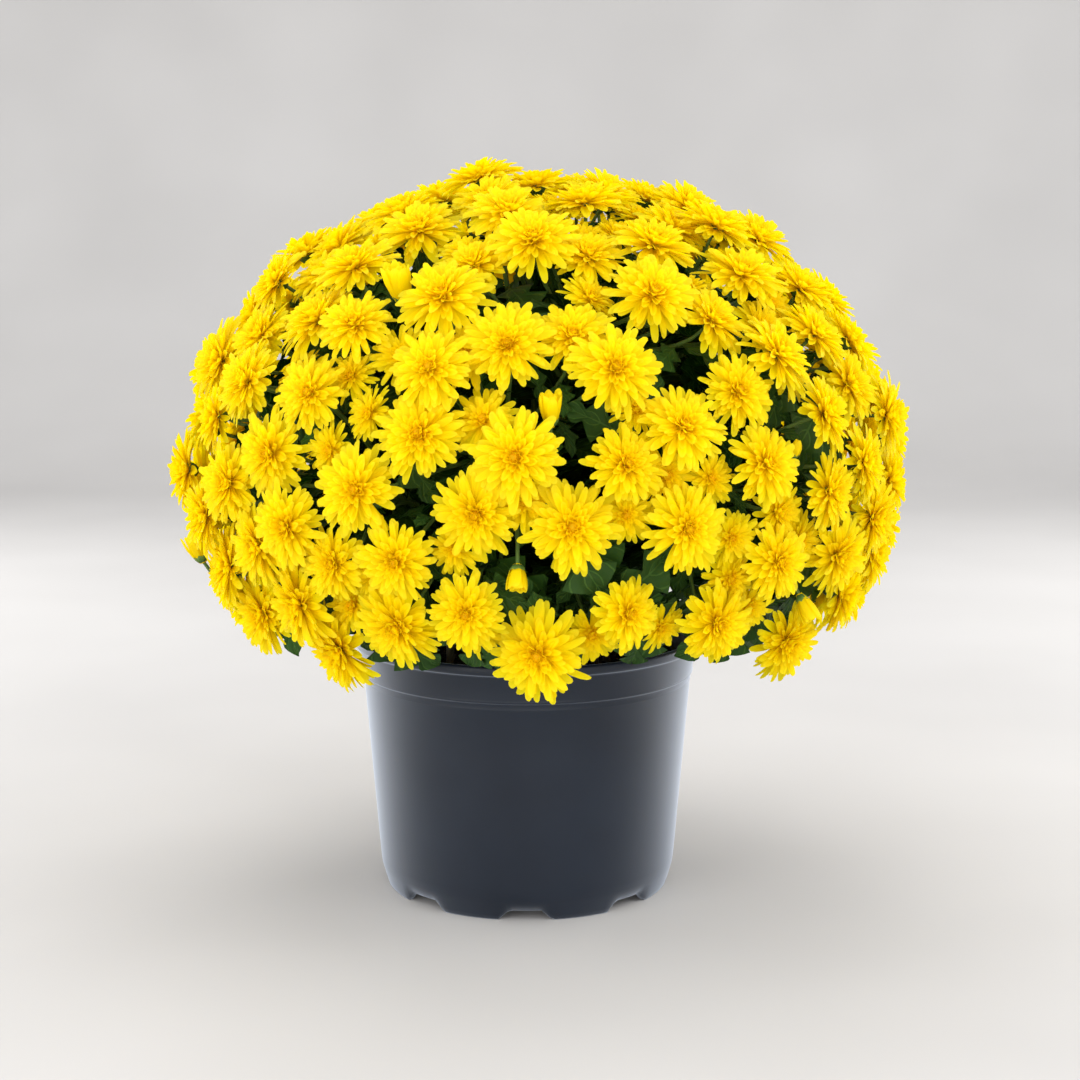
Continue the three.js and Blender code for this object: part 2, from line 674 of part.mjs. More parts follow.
// A profile of radii and heights, turned round the upright axis.
function lathe(profile, sides) {
  const points = profile.map(([radius, height]) => new THREE.Vector2(radius, height));
  return new THREE.LatheGeometry(points, sides).rotateX(PI / 2);
}

function potSolid() {
  const { height, lipRadius, lipHeight, ringHeight, ringRadius, step, wall } = POT;
  const { baseRadius, baseHeight, footRadius, footWidth, floorHeight } = POT;
  const floorTop = floorHeight + POT.floor;
  const profile = [
    [0, floorHeight],
    [footRadius - footWidth, floorHeight],
    [footRadius - footWidth, 0],
    [footRadius, 0],
    [baseRadius, baseHeight],
    [wallRadius(ringHeight - 2), ringHeight - 2],
    [ringRadius, ringHeight],
    [ringRadius + step, height - lipHeight],
    [lipRadius, height - lipHeight],
    [lipRadius, height],
    [ringRadius, height],
    [baseRadius - wall, baseHeight],
    [baseRadius - wall - 3, floorTop],
    [0, floorTop],
  ];
  const shell = lathe(profile, POT.sides);
  cutNotches(shell);
  shell.translate(POT.x, 0, 0);
  let pot = solidOf(shell);
  if (pot.volume() < 0) throw new Error("the pot's profile runs the wrong way round");
  for (let k = 0; k < DRAIN.count; k++) {
    const hole = new THREE.CylinderGeometry(DRAIN.radius, DRAIN.radius, 3 * POT.floor, DRAIN.sides);
    hole.rotateX(PI / 2);
    const turn = rad(45 + (360 * k) / DRAIN.count);
    hole.translate(POT.x + DRAIN.ring * cos(turn), DRAIN.ring * sin(turn), POT.floorHeight + POT.floor / 2);
    pot = pot.subtract(solidOf(hole));
  }
  return pot;
}

// Between its feet the bottom edge is lifted: up over one side of the lathe, level over one, and down again.
function cutNotches(geometry) {
  const position = geometry.attributes.position;
  const sidesPerFoot = POT.sides / POT.feet;
  for (let i = 0; i < position.count; i++) {
    if (position.getZ(i) > 1e-3) continue;
    const azimuth = (Math.atan2(position.getX(i), -position.getY(i)) * 180) / PI;
    const side = Math.round((azimuth * POT.sides) / 360 + POT.sides) % sidesPerFoot;
    if (side === 1 || side === 2) position.setZ(i, POT.notchHeight);
  }
  const firstFoot = (-1.5 * 360) / POT.sides;
  geometry.rotateZ(rad(POT.footTurn - firstFoot));
}

// Peat fills the pot, heaped a little in the middle, with a plain hole round each stem.
function soilSolid(curves) {
  const inner = (z) => (wallRadius(z) - POT.wall) * cos(PI / POT.sides) - SOIL.shrink;
  const bottom = POT.floorHeight + POT.floor + CLEARANCE;
  const profile = [
    [0, bottom],
    [inner(POT.baseHeight) - 4, bottom],
    [inner(POT.baseHeight + 2), POT.baseHeight + 2],
    [inner(SOIL.rim), SOIL.rim],
    [0.75 * inner(SOIL.rim), SOIL.crown],
    [0, SOIL.crown],
  ];
  let soil = solidOf(lathe(profile, SOIL.sides).translate(POT.x, 0, 0));
  for (const { v0 } of curves) {
    const ends = [v0.clone().setZ(v0.z - STEM.buried - CLEARANCE), v0.clone().setZ(v0.z + 4)];
    const radius = STEM.radius + 1.5 * CLEARANCE;
    const hole = ends.map((centre) => ringAt(centre, vec(0, 0, 1), vec(1, 0, 0), radius, STEM.sides));
    soil = soil.subtract(meshSolid(tube(hole)));
  }
  return soil;
}

// ---- Assembly ----

const plant = new THREE.Group();

function addPiece(name, solid, material) {
  const mesh = new THREE.Mesh(geometryOf(solid), material);
  mesh.name = name;
  plant.add(mesh);
}

const heads = firstPlaces();
sortIntoSprays(heads);
settle(heads, SETTLING.steps);
for (let round = 0; round < SETTLING.rounds; round++) {
  moveStrays(heads);
  settle(heads, SETTLING.steps / 2);
}
for (const bud of heads.filter((head) => head.bud)) {
  bud.axis = facing(bud.at, bud.lean.add(vec(0, 0, bud.rise)));
}

const sprays = Array.from({ length: SPRAYS }, (_, index) => {
  const own = heads.filter((head) => head.spray === index);
  const blooms = own.filter((head) => !head.bud);
  const middle = blooms.reduce((sum, bloom) => sum.add(bloom.at), vec(0, 0, 0)).divideScalar(blooms.length);
  return { index, middle, blooms: joinSpray(blooms), buds: own.filter((head) => head.bud) };
});

const number = (index) => String(index + 1).padStart(2, "0");
const curves = sprays.map(stemCurve);
const bloomSolids = sprays.map(bloomCluster);
const budSolids = heads.filter((head) => head.bud).map(budSolid);
const pot = potSolid();
const soil = soilSolid(curves);

const stems = sprays.map((spray, index) => {
  const curve = curves[index];
  const flowers = [...bloomSolids, ...budSolids];
  const blooms = [...spray.blooms].sort((a, b) => offAxis(curve, a).length() - offAxis(curve, b).length());
  const isClear = (head) => sharedVolume(meshSolid(stemMesh(curve, head)), flowers) < GRAZE;
  const first = blooms.find(isClear) ?? blooms[0];
  const mesh = stemMesh(curve, first);
  const stem = { index, curve, mesh, bare: meshSolid(mesh), growths: [], taken: new Set() };
  growStalks(stem, [...blooms, ...spray.buds].filter((head) => head !== first), flowers);
  return stem;
});
stems.forEach((stem) => {
  const others = stems.filter((other) => other !== stem).flatMap((other) => [other.bare, ...other.growths]);
  growLeaves(stem, [pot, soil, ...bloomSolids, ...budSolids, ...others]);
});

addPiece("pot", pot, POT_PLASTIC);
addPiece("growing_medium", soil, PEAT);
stems.forEach((stem, index) => addPiece("stem_" + number(index), meshSolid(stem.mesh), FOLIAGE));
bloomSolids.forEach((solid, index) => addPiece("blooms_" + number(index), solid, PETAL));
budSolids.forEach((solid, index) => addPiece("bud_" + (index + 1), solid, PETAL));

export default plant;
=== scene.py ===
"""The pot chrysanthemum in full flower: blooms, buds, leaves, stems, pot, peat and a plain studio."""

import functools
import math

import bpy
import numpy as np
from bpy.props import FloatProperty, FloatVectorProperty, IntProperty, PointerProperty
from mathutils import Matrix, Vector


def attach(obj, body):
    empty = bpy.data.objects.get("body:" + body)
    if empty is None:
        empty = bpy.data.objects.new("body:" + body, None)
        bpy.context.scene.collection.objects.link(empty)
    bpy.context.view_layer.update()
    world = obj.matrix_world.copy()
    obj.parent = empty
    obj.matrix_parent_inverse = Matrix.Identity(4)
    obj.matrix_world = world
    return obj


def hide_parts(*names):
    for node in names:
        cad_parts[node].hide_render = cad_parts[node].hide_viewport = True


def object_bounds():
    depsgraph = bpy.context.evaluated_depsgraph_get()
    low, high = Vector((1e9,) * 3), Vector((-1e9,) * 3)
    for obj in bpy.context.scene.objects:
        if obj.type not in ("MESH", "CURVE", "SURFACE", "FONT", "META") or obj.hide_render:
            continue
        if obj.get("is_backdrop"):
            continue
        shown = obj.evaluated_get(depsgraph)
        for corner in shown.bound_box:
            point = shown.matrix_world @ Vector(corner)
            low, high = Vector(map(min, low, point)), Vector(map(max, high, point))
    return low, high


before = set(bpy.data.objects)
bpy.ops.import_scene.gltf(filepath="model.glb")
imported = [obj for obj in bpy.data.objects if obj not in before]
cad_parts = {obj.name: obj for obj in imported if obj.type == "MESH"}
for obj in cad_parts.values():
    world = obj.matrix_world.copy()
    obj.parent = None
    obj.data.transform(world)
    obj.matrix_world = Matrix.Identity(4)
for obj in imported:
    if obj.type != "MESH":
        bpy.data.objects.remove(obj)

bl_info = {
    "name": "Pot Chrysanthemum",
    "version": (1, 0, 0),
    "blender": (4, 5, 0),
    "location": "View3D > Sidebar > Chrysanthemum",
    "description": "Dresses the packed pot chrysanthemum with petals, leaves, a moulded pot and a studio",
    "category": "Add Mesh",
}

CAD_BOX = [list(corner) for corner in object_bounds()]
MM = 0.001

# ---- The plant's own plan, in millimetres: the same rules place the solids of the frame ----

POT_X = -10.0
SOIL_CROWN = 141.0
DOME_MIDDLE = 256.0
DOME_REACH = 207.0
DOME_RISE = 169.0
DOME_DROP = 165.0
DOME_LOWEST = 119.0  # the lowest blooms' polar angle
DOME_NOD = 108.0  # and how far they nod
CORE = np.array([0, 0, DOME_MIDDLE])
LATTICE = 186  # blooms that would cover the whole dome
SPRAYS = 24
SPRAY_STEP = 22.0
LONGEST_REST = 54.0
BLOOM_RADIUS = 25.0
BLOOM_VARIATION = 2.0
BLOOM_HALF_DEPTH = 7.5
BLOOM_LEAN = 0.1
BLOOM_BASE_DEPTH = 7.0
GOLDEN_ANGLE = 360 * (1 - 2 / (1 + math.sqrt(5)))

# The first seed of each kind of thing that is drawn.
BLOOM_SEEDS = 100
BUD_SEEDS = 400
YOUNG_SEEDS = 700
STEM_LEAF_SEEDS = 900
STALK_LEAF_SEEDS = 5000
SHOWN_LEAF_SEEDS = 12000

# The large blooms of the face: azimuth, polar angle, radius.
FACE_BLOOMS = [
    (-17, 40, 22), (11, 38, 22), (21, 50, 25.5), (5, 57, 23), (-6, 60, 24.5), (-35, 57, 22.5),
    (-18, 65, 23.5), (11, 65, 25.5), (-40, 70, 22.5), (32, 69, 22), (-19, 76, 25.5), (21, 75, 24),
    (-4, 80, 26.5), (12, 81, 22.5), (-10, 90, 24.5), (4, 92, 25.5), (21, 93, 24.5), (49, 89, 22.5),
    (-22, 99, 23), (-34, 101, 21.5), (38, 101, 22), (-12, 109, 22), (13, 109, 20.5), (-1, 118, 27),
]

# Gaps in the blooms that show the leaves: azimuth, polar angle, radius; and their repeats round the dome.
WINDOWS = [
    (-53, 39, 7), (-29, 46, 8), (-3, 47, 10), (4, 70, 11), (22, 62, 7), (-55, 79, 9),
    (5, 102, 9), (-20, 88, 4), (-34, 93, 4), (43, 81, 11), (23, 102, 6),
]
WINDOW_TURNS = (0, 120, 240)

# Half-open blooms and buds: azimuth, polar angle, radius, half length, height above the dome, and how
# steeply they stand up, or hang where it is negative, against the way that a bloom there faces.
BUDS = [
    (1, 71, 6.5, 10, -4, 2.5), (-4, 102, 7, 8, -4, -1.8), (43, 80, 4, 6, -6, 2.5),
    (-84, 106, 7, 10, 8, 2.3), (48, 112, 6, 9, 2, -1.3), (-31, 47, 8, 13, 0, 1.2),
    (-84, 9, 5, 7, 2, -0.8), (-86, 67, 6, 9, 0, 0.8),
]

# How the blooms settle: TOGETHER and APART are how close those of one spray and of two come, where 1 is
# touching, and DEEPEST and PROUDEST how far they stay from the dome.
SETTLE_STEPS = 160
SETTLE_ROUNDS = 3
SETTLE_PACE = 0.3
TOGETHER = 0.9
APART = 1.06
CROWDED = 0.65
DEEPEST = -20.0
PROUDEST = 7.0
WINDOW_REACH = 60.0  # a gap pushes the blooms that are nearer
WINDOW_CLEARANCE = 0.8  # the share of a bloom's radius that stays outside a gap
DRAWN_BACK = 0.97  # the share of its height off the dome that a bloom keeps at a step
REST_CLIMB = 0.1
CLIMB_COST = 4

STEM_RADIUS = 2.3
STEM_FORK_RADIUS = 1.8
STEM_SIDES = 4
STEM_BURIED = 27.0
STEM_ROOTING = 74.0
STEM_ARCH = 40.0
STEM_FORK = 0.62
LEAF_NODES = (0.18, 0.36, 0.5, 0.64, 0.73, 0.8, 0.87, 0.94, 1.0)  # shares of the way to the fork
LOW_NODES = 4  # leaves grow between the lowest of these

LEAF_LENGTH = 54.0
LEAF_SPREAD = 0.9
LEAF_RISE = 0.4
LEAF_ARCH = 0.3
LEAF_TRIES = 30

# The small blooms behind the others.
YOUNG_TRIES = 1400
YOUNG_RADIUS = 18.0
YOUNG_DEPTH = 0.94
YOUNG_CROWDED = 1.0
YOUNG_BASE_DEPTH = 5.0
YOUNG_MARGIN = 6.0  # clear of the gaps
BUD_SPACE = 10.0  # round a bud
YOUNG_FULLNESS = 0.62
LOOSENESS = 2.4  # how much more the petals of a bloom lean than its solid does
STALK_LEAF_ROWS = [(1, 3), (2, 5), (4, 7), (6, 9)]  # between these rows of a stalk's eleven grows a leaf

# Rings of leaves in plain sight: how many, between which polar angles and which shares of the dome's reach.
# The first look out below the lowest blooms, the second close the view between the dome and the pot's rim.
LEAF_RINGS = [(74, (100.0, 127.0), (0.72, 0.95)), (84, (123.0, 138.0), (0.64, 0.9))]
# Single leaves that look out of the face: azimuth, polar angle, share of the dome's reach.
SINGLE_LEAVES = np.array([
    (-80, 132, 1.0), (-70, 135, 1.0), (-92, 126, 1.02), (-13, 135, 0.86), (22, 135, 0.86), (-40, 134, 0.86),
    (72, 127, 0.92), (58, 131, 0.9), (80, 114, 1.0), (-28, 135, 0.85), (36, 134, 0.86), (50, 133, 0.87),
    (34, 120, 0.78), (40, 122, 0.74), (28, 116, 0.8), (52, 72, 0.86), (56, 76, 0.84), (60, 82, 0.84),
    (51, 82, 0.86), (46, 84, 0.85), (56, 87, 0.85), (62, 76, 0.82), (48, 76, 0.84), (-60, 62, 0.84),
])
FORWARD = 1.6  # how much more than outwards the single leaves face the front
SHOWN_REACH = (22.0, 60.0)  # a leaf in plain sight grows this far to the place that it shows in
SHOWN_SHARE = 0.84
SHOWN_LONGEST = 58.0


def chance(index, stream):
    """A number from 0 to 1 that looks random: the fraction that is left of a large multiple of a sine."""
    spun = np.sin(np.asarray(index, float) * 12.9898 + stream * 78.233 + 0.5) * 43758.5453
    return spun - np.floor(spun)


def between(low, high, index, stream):
    """A seeded draw between two limits."""
    return low + (high - low) * chance(index, stream)


def unit(vectors):
    """Each vector divided by its length."""
    return vectors / np.linalg.norm(vectors, axis=-1, keepdims=True)


def dot(a, b):
    """The scalar product along the last axis, kept as a column."""
    return np.sum(a * b, axis=-1, keepdims=True)


def length_of(vectors):
    """The length of each vector."""
    return np.linalg.norm(vectors, axis=-1)


def distances(points, others):
    """How far each point is from each of the others."""
    return length_of(points[:, None] - others[None])


def stacked(*values):
    """Values spread to one shape and put side by side along a new last axis."""
    return np.stack(np.broadcast_arrays(*values), axis=-1)


def circle(sides):
    """Evenly spaced angles round a circle."""
    return 2 * np.pi * np.arange(sides) / sides


def turned(first, second, turn):
    """Directions at angles from one direction towards another that is square to it."""
    return first * np.cos(turn)[..., None] + second * np.sin(turn)[..., None]


def on_dome(azimuth, polar):
    """The dome's surface: an ellipsoid with one height above its middle and another below it."""
    azimuth, polar = np.radians(azimuth), np.radians(polar)
    across = DOME_REACH * np.sin(polar)
    up = np.cos(polar) * np.where(polar < np.pi / 2, DOME_RISE, DOME_DROP)
    return stacked(across * np.sin(azimuth), -across * np.cos(azimuth), DOME_MIDDLE + up)


def in_dome(azimuth, polar, share):
    """Places at a share of the way from the dome's middle to its surface."""
    return CORE + (on_dome(azimuth, polar) - CORE) * share


def dome_share(points):
    """A point's share of the dome's reach, which is 1 on the dome, and its polar angle in degrees."""
    lift = points[..., 2] - DOME_MIDDLE
    up = lift / np.where(lift > 0, DOME_RISE, DOME_DROP)
    across = np.hypot(points[..., 0], points[..., 1]) / DOME_REACH
    return np.hypot(up, across), np.degrees(np.arctan2(across, up))


def spiral(count, lowest):
    """Places that share the dome's area evenly: steps of the golden angle at equal steps of height."""
    k = np.arange(count)
    height = 1 - (1 - math.cos(math.radians(lowest))) * (k + 0.5) / count
    return (k * GOLDEN_ANGLE) % 360, np.degrees(np.arccos(height))


def facing(points, lean):
    """The way a bloom faces: up on top, nodding in step with its polar angle, with a lean of its own."""
    _, polar = dome_share(points)
    elevation = np.radians(90 - polar * DOME_NOD / DOME_LOWEST)
    outward = np.hypot(points[:, 0], points[:, 1]) + 1e-6
    level = np.cos(elevation) / outward
    axis = stacked(points[:, 0] * level, points[:, 1] * level, np.sin(elevation))
    return unit(axis + lean)


def lean_of(index):
    """Three small seeded draws that tip a bloom a little."""
    return stacked(*(between(-BLOOM_LEAN, BLOOM_LEAN, index, stream) for stream in (1, 2, 3)))


def window_places():
    """The middle and the radius of every gap in the blooms."""
    azimuth, polar, reach = np.array(WINDOWS, float).T
    places = np.concatenate([on_dome(azimuth + turn, polar) for turn in WINDOW_TURNS])
    return places, np.tile(reach, len(WINDOW_TURNS))


def first_places():
    """Where the heads start: the face's blooms, a spiral of others clear of these and the gaps, buds."""
    face, buds = np.array(FACE_BLOOMS, float).T, np.array(BUDS, float).T
    face_at = on_dome(*face[:2])
    at = on_dome(*spiral(LATTICE, DOME_LOWEST))
    windows, reach = window_places()
    crowded = distances(at, face_at) / (face[2] + BLOOM_RADIUS) < CROWDED
    kept = np.flatnonzero(~(crowded.any(axis=1) | (distances(at, windows) < reach).any(axis=1)))
    radius = BLOOM_RADIUS + between(-BLOOM_VARIATION, BLOOM_VARIATION, kept, 4)
    blooms = len(face[0]) + len(kept)
    seeds = [np.arange(len(face[0])), BLOOM_SEEDS + kept, BUD_SEEDS + np.arange(len(buds[0]))]
    index = np.concatenate(seeds)
    bud = np.arange(len(index)) >= blooms
    return {
        "at": np.concatenate([face_at, at[kept], on_dome(*buds[:2])]),
        "lean": lean_of(index),
        "radius": np.concatenate([face[2], radius, buds[2]]),
        "half": np.concatenate([np.full(blooms, BLOOM_HALF_DEPTH), buds[3]]),
        "height": np.concatenate([np.zeros(blooms), buds[4]]),
        "fixed": bud | (np.arange(len(index)) < len(face[0])),
        "bud": bud,
        "spray": np.full(len(index), -1),
    }


def sort_into_sprays(heads):
    """Sprays grow bloom by bloom: the bloom nearest to a spray's blooms and to its middle joins it next."""
    middles = on_dome(*spiral(SPRAYS, DOME_LOWEST - 6))
    at, spray = heads["at"], heads["spray"]
    blooms = np.flatnonzero(~heads["bud"])
    waiting = list(blooms)
    cost = np.full(len(at), np.inf)
    offer = np.full(len(at), -1)

    def join(bloom, number):
        spray[bloom] = number
        waiting.remove(bloom)
        others = np.array(waiting, int)
        inwards = length_of(at[others] - middles[number])
        offered = length_of(at[others] - at[bloom]) ** 2 / SPRAY_STEP + inwards
        better = offered < cost[others]
        cost[others[better]] = offered[better]
        offer[others[better]] = number

    for number, middle in enumerate(middles):
        join(min(waiting, key=lambda bloom: length_of(at[bloom] - middle)), number)
    while waiting:
        bloom = min(waiting, key=lambda one: cost[one])
        join(bloom, offer[bloom])
    for bud in np.flatnonzero(heads["bud"]):
        spray[bud] = spray[blooms[np.argmin(length_of(at[blooms] - at[bud]))]]


def rest_cost(at, axis, host_at):
    """What it costs a bloom to lean on a host: the distance, and much more if the petal must climb."""
    way = host_at - at
    climb = np.sum(way * axis, axis=-1)
    length = length_of(way)
    level = np.sqrt(length**2 - climb**2)
    return length + CLIMB_COST * np.maximum(0, climb - REST_CLIMB * level)


def strays_of(heads, members):
    """The blooms of a spray that would lean too far: each leans on the cheapest bloom joined before it."""
    at, axis = heads["at"], heads["axis"]
    waiting = list(members[np.argsort(dome_share(at[members])[0], kind="stable")])
    joined = [waiting.pop(0)]
    strays = []
    while waiting:
        costs = [rest_cost(at[bloom], axis[bloom], at[joined]) for bloom in waiting]
        nearest = min(range(len(waiting)), key=lambda k: costs[k].min())
        bloom = waiting.pop(nearest)
        if length_of(at[bloom] - at[joined[np.argmin(costs[nearest])]]) > LONGEST_REST:
            strays.append(bloom)
        joined.append(bloom)
    return strays


def move_strays(heads):
    """A bloom that would lean too far joins the spray of the nearest bloom that it can lean on."""
    at, axis, spray = heads["at"], heads["axis"], heads["spray"]
    blooms = np.flatnonzero(~heads["bud"])
    for number in range(SPRAYS):
        for stray in strays_of(heads, blooms[spray[blooms] == number]):
            hosts = blooms[(blooms != stray) & (spray[blooms] != number)]
            spray[stray] = spray[hosts[np.argmin(rest_cost(at[stray], axis[stray], at[hosts]))]]


def settle(heads, steps):
    """The heads push each other and the gaps clear, and are drawn back to the dome, step by step."""
    at, radius, half, bud = heads["at"], heads["radius"], heads["half"], heads["bud"]
    windows, reach = window_places()
    first, second = np.triu_indices(len(at), 1)
    wide = ((radius[first] + radius[second]) ** 2)[:, None]
    thick = ((half[first] + half[second]) ** 2)[:, None]
    same = (heads["spray"][first] == heads["spray"][second]) & ~bud[first] & ~bud[second]
    needed = np.where(same, TOGETHER, APART)[:, None]
    for _ in range(steps):
        axis = facing(at, heads["lean"])
        apart = at[first] - at[second]
        common = unit(axis[first] + axis[second])
        deep = dot(apart, common)
        flat = apart - common * deep
        share = np.sqrt(dot(flat, flat) / wide + deep * deep / thick) + 1e-9
        way = flat / wide + common * (deep / thick)
        push = way * (SETTLE_PACE * (needed - share) * share / dot(way, way))
        push = np.where(share < needed, push, 0)
        moves = np.zeros_like(at)
        np.add.at(moves, first, push)
        np.add.at(moves, second, -push)
        away = at[:, None] - windows[None]
        near = length_of(away) < WINDOW_REACH
        away = away - axis[:, None] * dot(away, axis[:, None])
        short = reach[None] + WINDOW_CLEARANCE * radius[:, None] - length_of(away)
        shove = np.where(near & (short > 0) & ~bud[:, None], SETTLE_PACE * short, 0)
        moves += np.sum(unit(away) * shove[..., None], axis=1)
        moved = at + moves
        share, _ = dome_share(moved)
        outward = moved - CORE
        length = length_of(outward)
        height = length * (1 - 1 / share) - heads["height"]
        excess = height - np.clip(height * DRAWN_BACK, DEEPEST, PROUDEST)
        moved = moved - outward / length[:, None] * excess[:, None]
        shift = dot(moved - at, axis)
        at = np.where(heads["fixed"][:, None], at + axis * shift, moved)
    heads["at"] = at
    heads["axis"] = facing(at, heads["lean"])


def planned_heads():
    """Every bloom and bud: its place, axis, radius, half depth and spray."""
    heads = first_places()
    sort_into_sprays(heads)
    settle(heads, SETTLE_STEPS)
    for _ in range(SETTLE_ROUNDS):
        move_strays(heads)
        settle(heads, SETTLE_STEPS // 2)
    heads["axis"] = facing(heads["at"], LOOSENESS * heads["lean"])
    bud = heads["bud"]
    rise = np.array(BUDS)[:, 5:] * [[0.0, 0.0, 1.0]]
    heads["axis"][bud] = facing(heads["at"][bud], heads["lean"][bud] + rise)
    return heads


def bezier(ends, share):
    """The point and the direction at a share of the way along a cubic curve with four control points."""
    share = np.asarray(share, float)[..., None]
    a, b, c, d = ends
    rest = 1 - share
    point = rest**3 * a + 3 * rest**2 * share * b + 3 * rest * share**2 * c + share**3 * d
    return point, unit(rest**2 * (b - a) + 2 * rest * share * (c - b) + share**2 * (d - c))


def stem_ends(heads, number):
    """The control points of a main stem: up out of the soil and out to the fork below its spray."""
    own = (heads["spray"] == number) & ~heads["bud"]
    middle = heads["at"][own].mean(axis=0)
    level = middle[:2] / length_of(middle[:2])
    ground = np.array([POT_X, 0, SOIL_CROWN])
    ground[:2] += STEM_ROOTING * math.sqrt((number + 0.5) / SPRAYS) * level
    fork = CORE + STEM_FORK * (middle - CORE)
    rising = ground + [0, 0, 0.5 * max(fork[2] - SOIL_CROWN, 60)]
    return ground, rising, fork - STEM_ARCH * unit(middle - CORE), fork


def young_blooms(heads):
    """Places for small young blooms a little deeper than the others: of evenly spread places the one that
    is furthest from the rims of all blooms, again and again until no gap is left that would show one."""
    at = in_dome(*spiral(YOUNG_TRIES, DOME_LOWEST - 2), YOUNG_DEPTH)
    windows, reach = window_places()
    from_window = (distances(at, windows) - reach).min(axis=1)
    at = at[from_window > YOUNG_RADIUS + YOUNG_MARGIN]
    room = np.where(heads["bud"], YOUNG_RADIUS + BUD_SPACE, heads["radius"])
    clearance = (distances(at, heads["at"]) - room).min(axis=1)
    chosen = []
    while clearance.max() > YOUNG_CROWDED:
        best = int(np.argmax(clearance))
        chosen.append(best)
        clearance = np.minimum(clearance, length_of(at - at[best]) - YOUNG_RADIUS)
    at = at[chosen]
    index = YOUNG_SEEDS + np.arange(len(at))
    nearest = distances(at, heads["at"])
    nearest[:, heads["bud"]] = np.inf
    return {
        "at": at,
        "axis": facing(at, 3 * lean_of(index)),
        "radius": YOUNG_RADIUS * between(0.85, 1.15, index, 51),
        "spray": heads["spray"][np.argmin(nearest, axis=1)],
        "index": index,
    }


HEADS = planned_heads()
YOUNG = young_blooms(HEADS)
STEMS = [stem_ends(HEADS, number) for number in range(SPRAYS)]

# ---- Mesh making ----


def srgb(code):
    """A hex colour as linear red, green, blue and alpha."""
    parts = [int(code[k : k + 2], 16) / 255 for k in (1, 3, 5)]
    linear = [c / 12.92 if c <= 0.04045 else ((c + 0.055) / 1.055) ** 2.4 for c in parts]
    return (*linear, 1.0)


def grid_faces(count, rows, columns, closed=False):
    """Quads over count grids of rows by columns points. A closed grid's last column joins its first."""
    across = columns if closed else columns - 1
    row, column = np.meshgrid(np.arange(rows - 1), np.arange(across), indexing="ij")
    row, column = row.ravel(), column.ravel()
    beside = (column + 1) % columns
    low = row * columns
    quads = np.stack([low + column, low + beside, low + columns + beside, low + columns + column], axis=-1)
    starts = np.arange(count)[:, None, None] * rows * columns
    return (starts + quads[None]).reshape(-1, 4)


class Build:
    """Collects grids of points with their UV maps and their material, and makes one mesh of them."""

    def __init__(self):
        self.points = []
        self.faces = []
        self.finish = []
        self.maps = {"along": [], "draw": []}
        self.total = 0

    def add(self, points, finish=0, closed=False, along=None, draw=None):
        """Adds grids of points, of shape (..., rows, columns, 3), with their pairs of map values."""
        rows, columns = points.shape[-3], points.shape[-2]
        flat = points.reshape(-1, 3)
        count = len(flat) // (rows * columns)
        faces = grid_faces(count, rows, columns, closed)
        self.points.append(flat)
        self.faces.append(faces + self.total)
        self.finish.append(np.full(len(faces), finish))
        for name, values in (("along", along), ("draw", draw)):
            spread = np.zeros((*points.shape[:-1], 2)) if values is None else values
            self.maps[name].append(np.broadcast_to(spread, (*points.shape[:-1], 2)).reshape(-1, 2))
        self.total += len(flat)

    def mesh(self, name, materials, smooth=True):
        """The finished mesh object, in metres, with its UV maps on the corners of its faces."""
        points = np.concatenate(self.points) * MM
        faces = np.concatenate(self.faces)
        data = bpy.data.meshes.new(name)
        data.vertices.add(len(points))
        data.vertices.foreach_set("co", points.ravel())
        data.loops.add(faces.size)
        data.loops.foreach_set("vertex_index", faces.ravel())
        data.polygons.add(len(faces))
        data.polygons.foreach_set("loop_start", np.arange(len(faces)) * 4)
        data.polygons.foreach_set("material_index", np.concatenate(self.finish))
        data.update(calc_edges=True)
        for label, values in self.maps.items():
            layer = data.uv_layers.new(name=label)
            layer.data.foreach_set("uv", np.concatenate(values)[faces.ravel()].ravel())
        for material in materials:
            data.materials.append(material)
        if smooth:
            data.shade_smooth()
        else:
            data.shade_flat()
        data.validate()
        piece = bpy.data.objects.new(name, data)
        bpy.context.scene.collection.objects.link(piece)
        return piece


def settle_piece(piece, slot, *nodes):
    """Gives a piece its body and hides the nodes that it stands for. The slot is not used."""
    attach(piece, "root")
    if nodes:
        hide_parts(*nodes)
    return piece


def frames_of(axis):
    """Two directions square to each axis, along and across it."""
    helper = np.where(np.abs(axis[..., 2:3]) < 0.9, [[0.0, 0.0, 1.0]], [[1.0, 0.0, 0.0]])
    along = unit(np.cross(helper, axis))
    return along, np.cross(axis, along)


TUBE_HELPER = (0.137, 0.981, 0.134)  # a way that no stem takes


def tubes(centres, radii, sides):
    """Round tubes along lines of points: rings square to the line, all turned towards one fixed way."""
    slope = unit(np.gradient(centres, axis=-2))
    helper = np.broadcast_to(TUBE_HELPER, slope.shape)
    first = unit(helper - slope * dot(helper, slope))
    ring = turned(first[..., None, :], np.cross(slope, first)[..., None, :], circle(sides))
    return centres[..., None, :] + ring * radii[..., None, None]


def rings_round(at, axis, wide, high, turn):
    """Rings round each axis, with a radius and a height for each ring and angle."""
    first, second = frames_of(axis)
    ring = turned(first[:, None], second[:, None], turn)
    return at[:, None, None] + ring[:, None] * wide[..., None] + axis[:, None, None] * high[..., None]


def round_map(rows, sides, length):
    """The place round and along a tube, as a UV map: round from 0 to 1, along in centimetres."""
    return stacked(np.arange(sides) / sides, (np.linspace(0, 1, rows) * length / 10)[:, None])


# ---- Petals ----

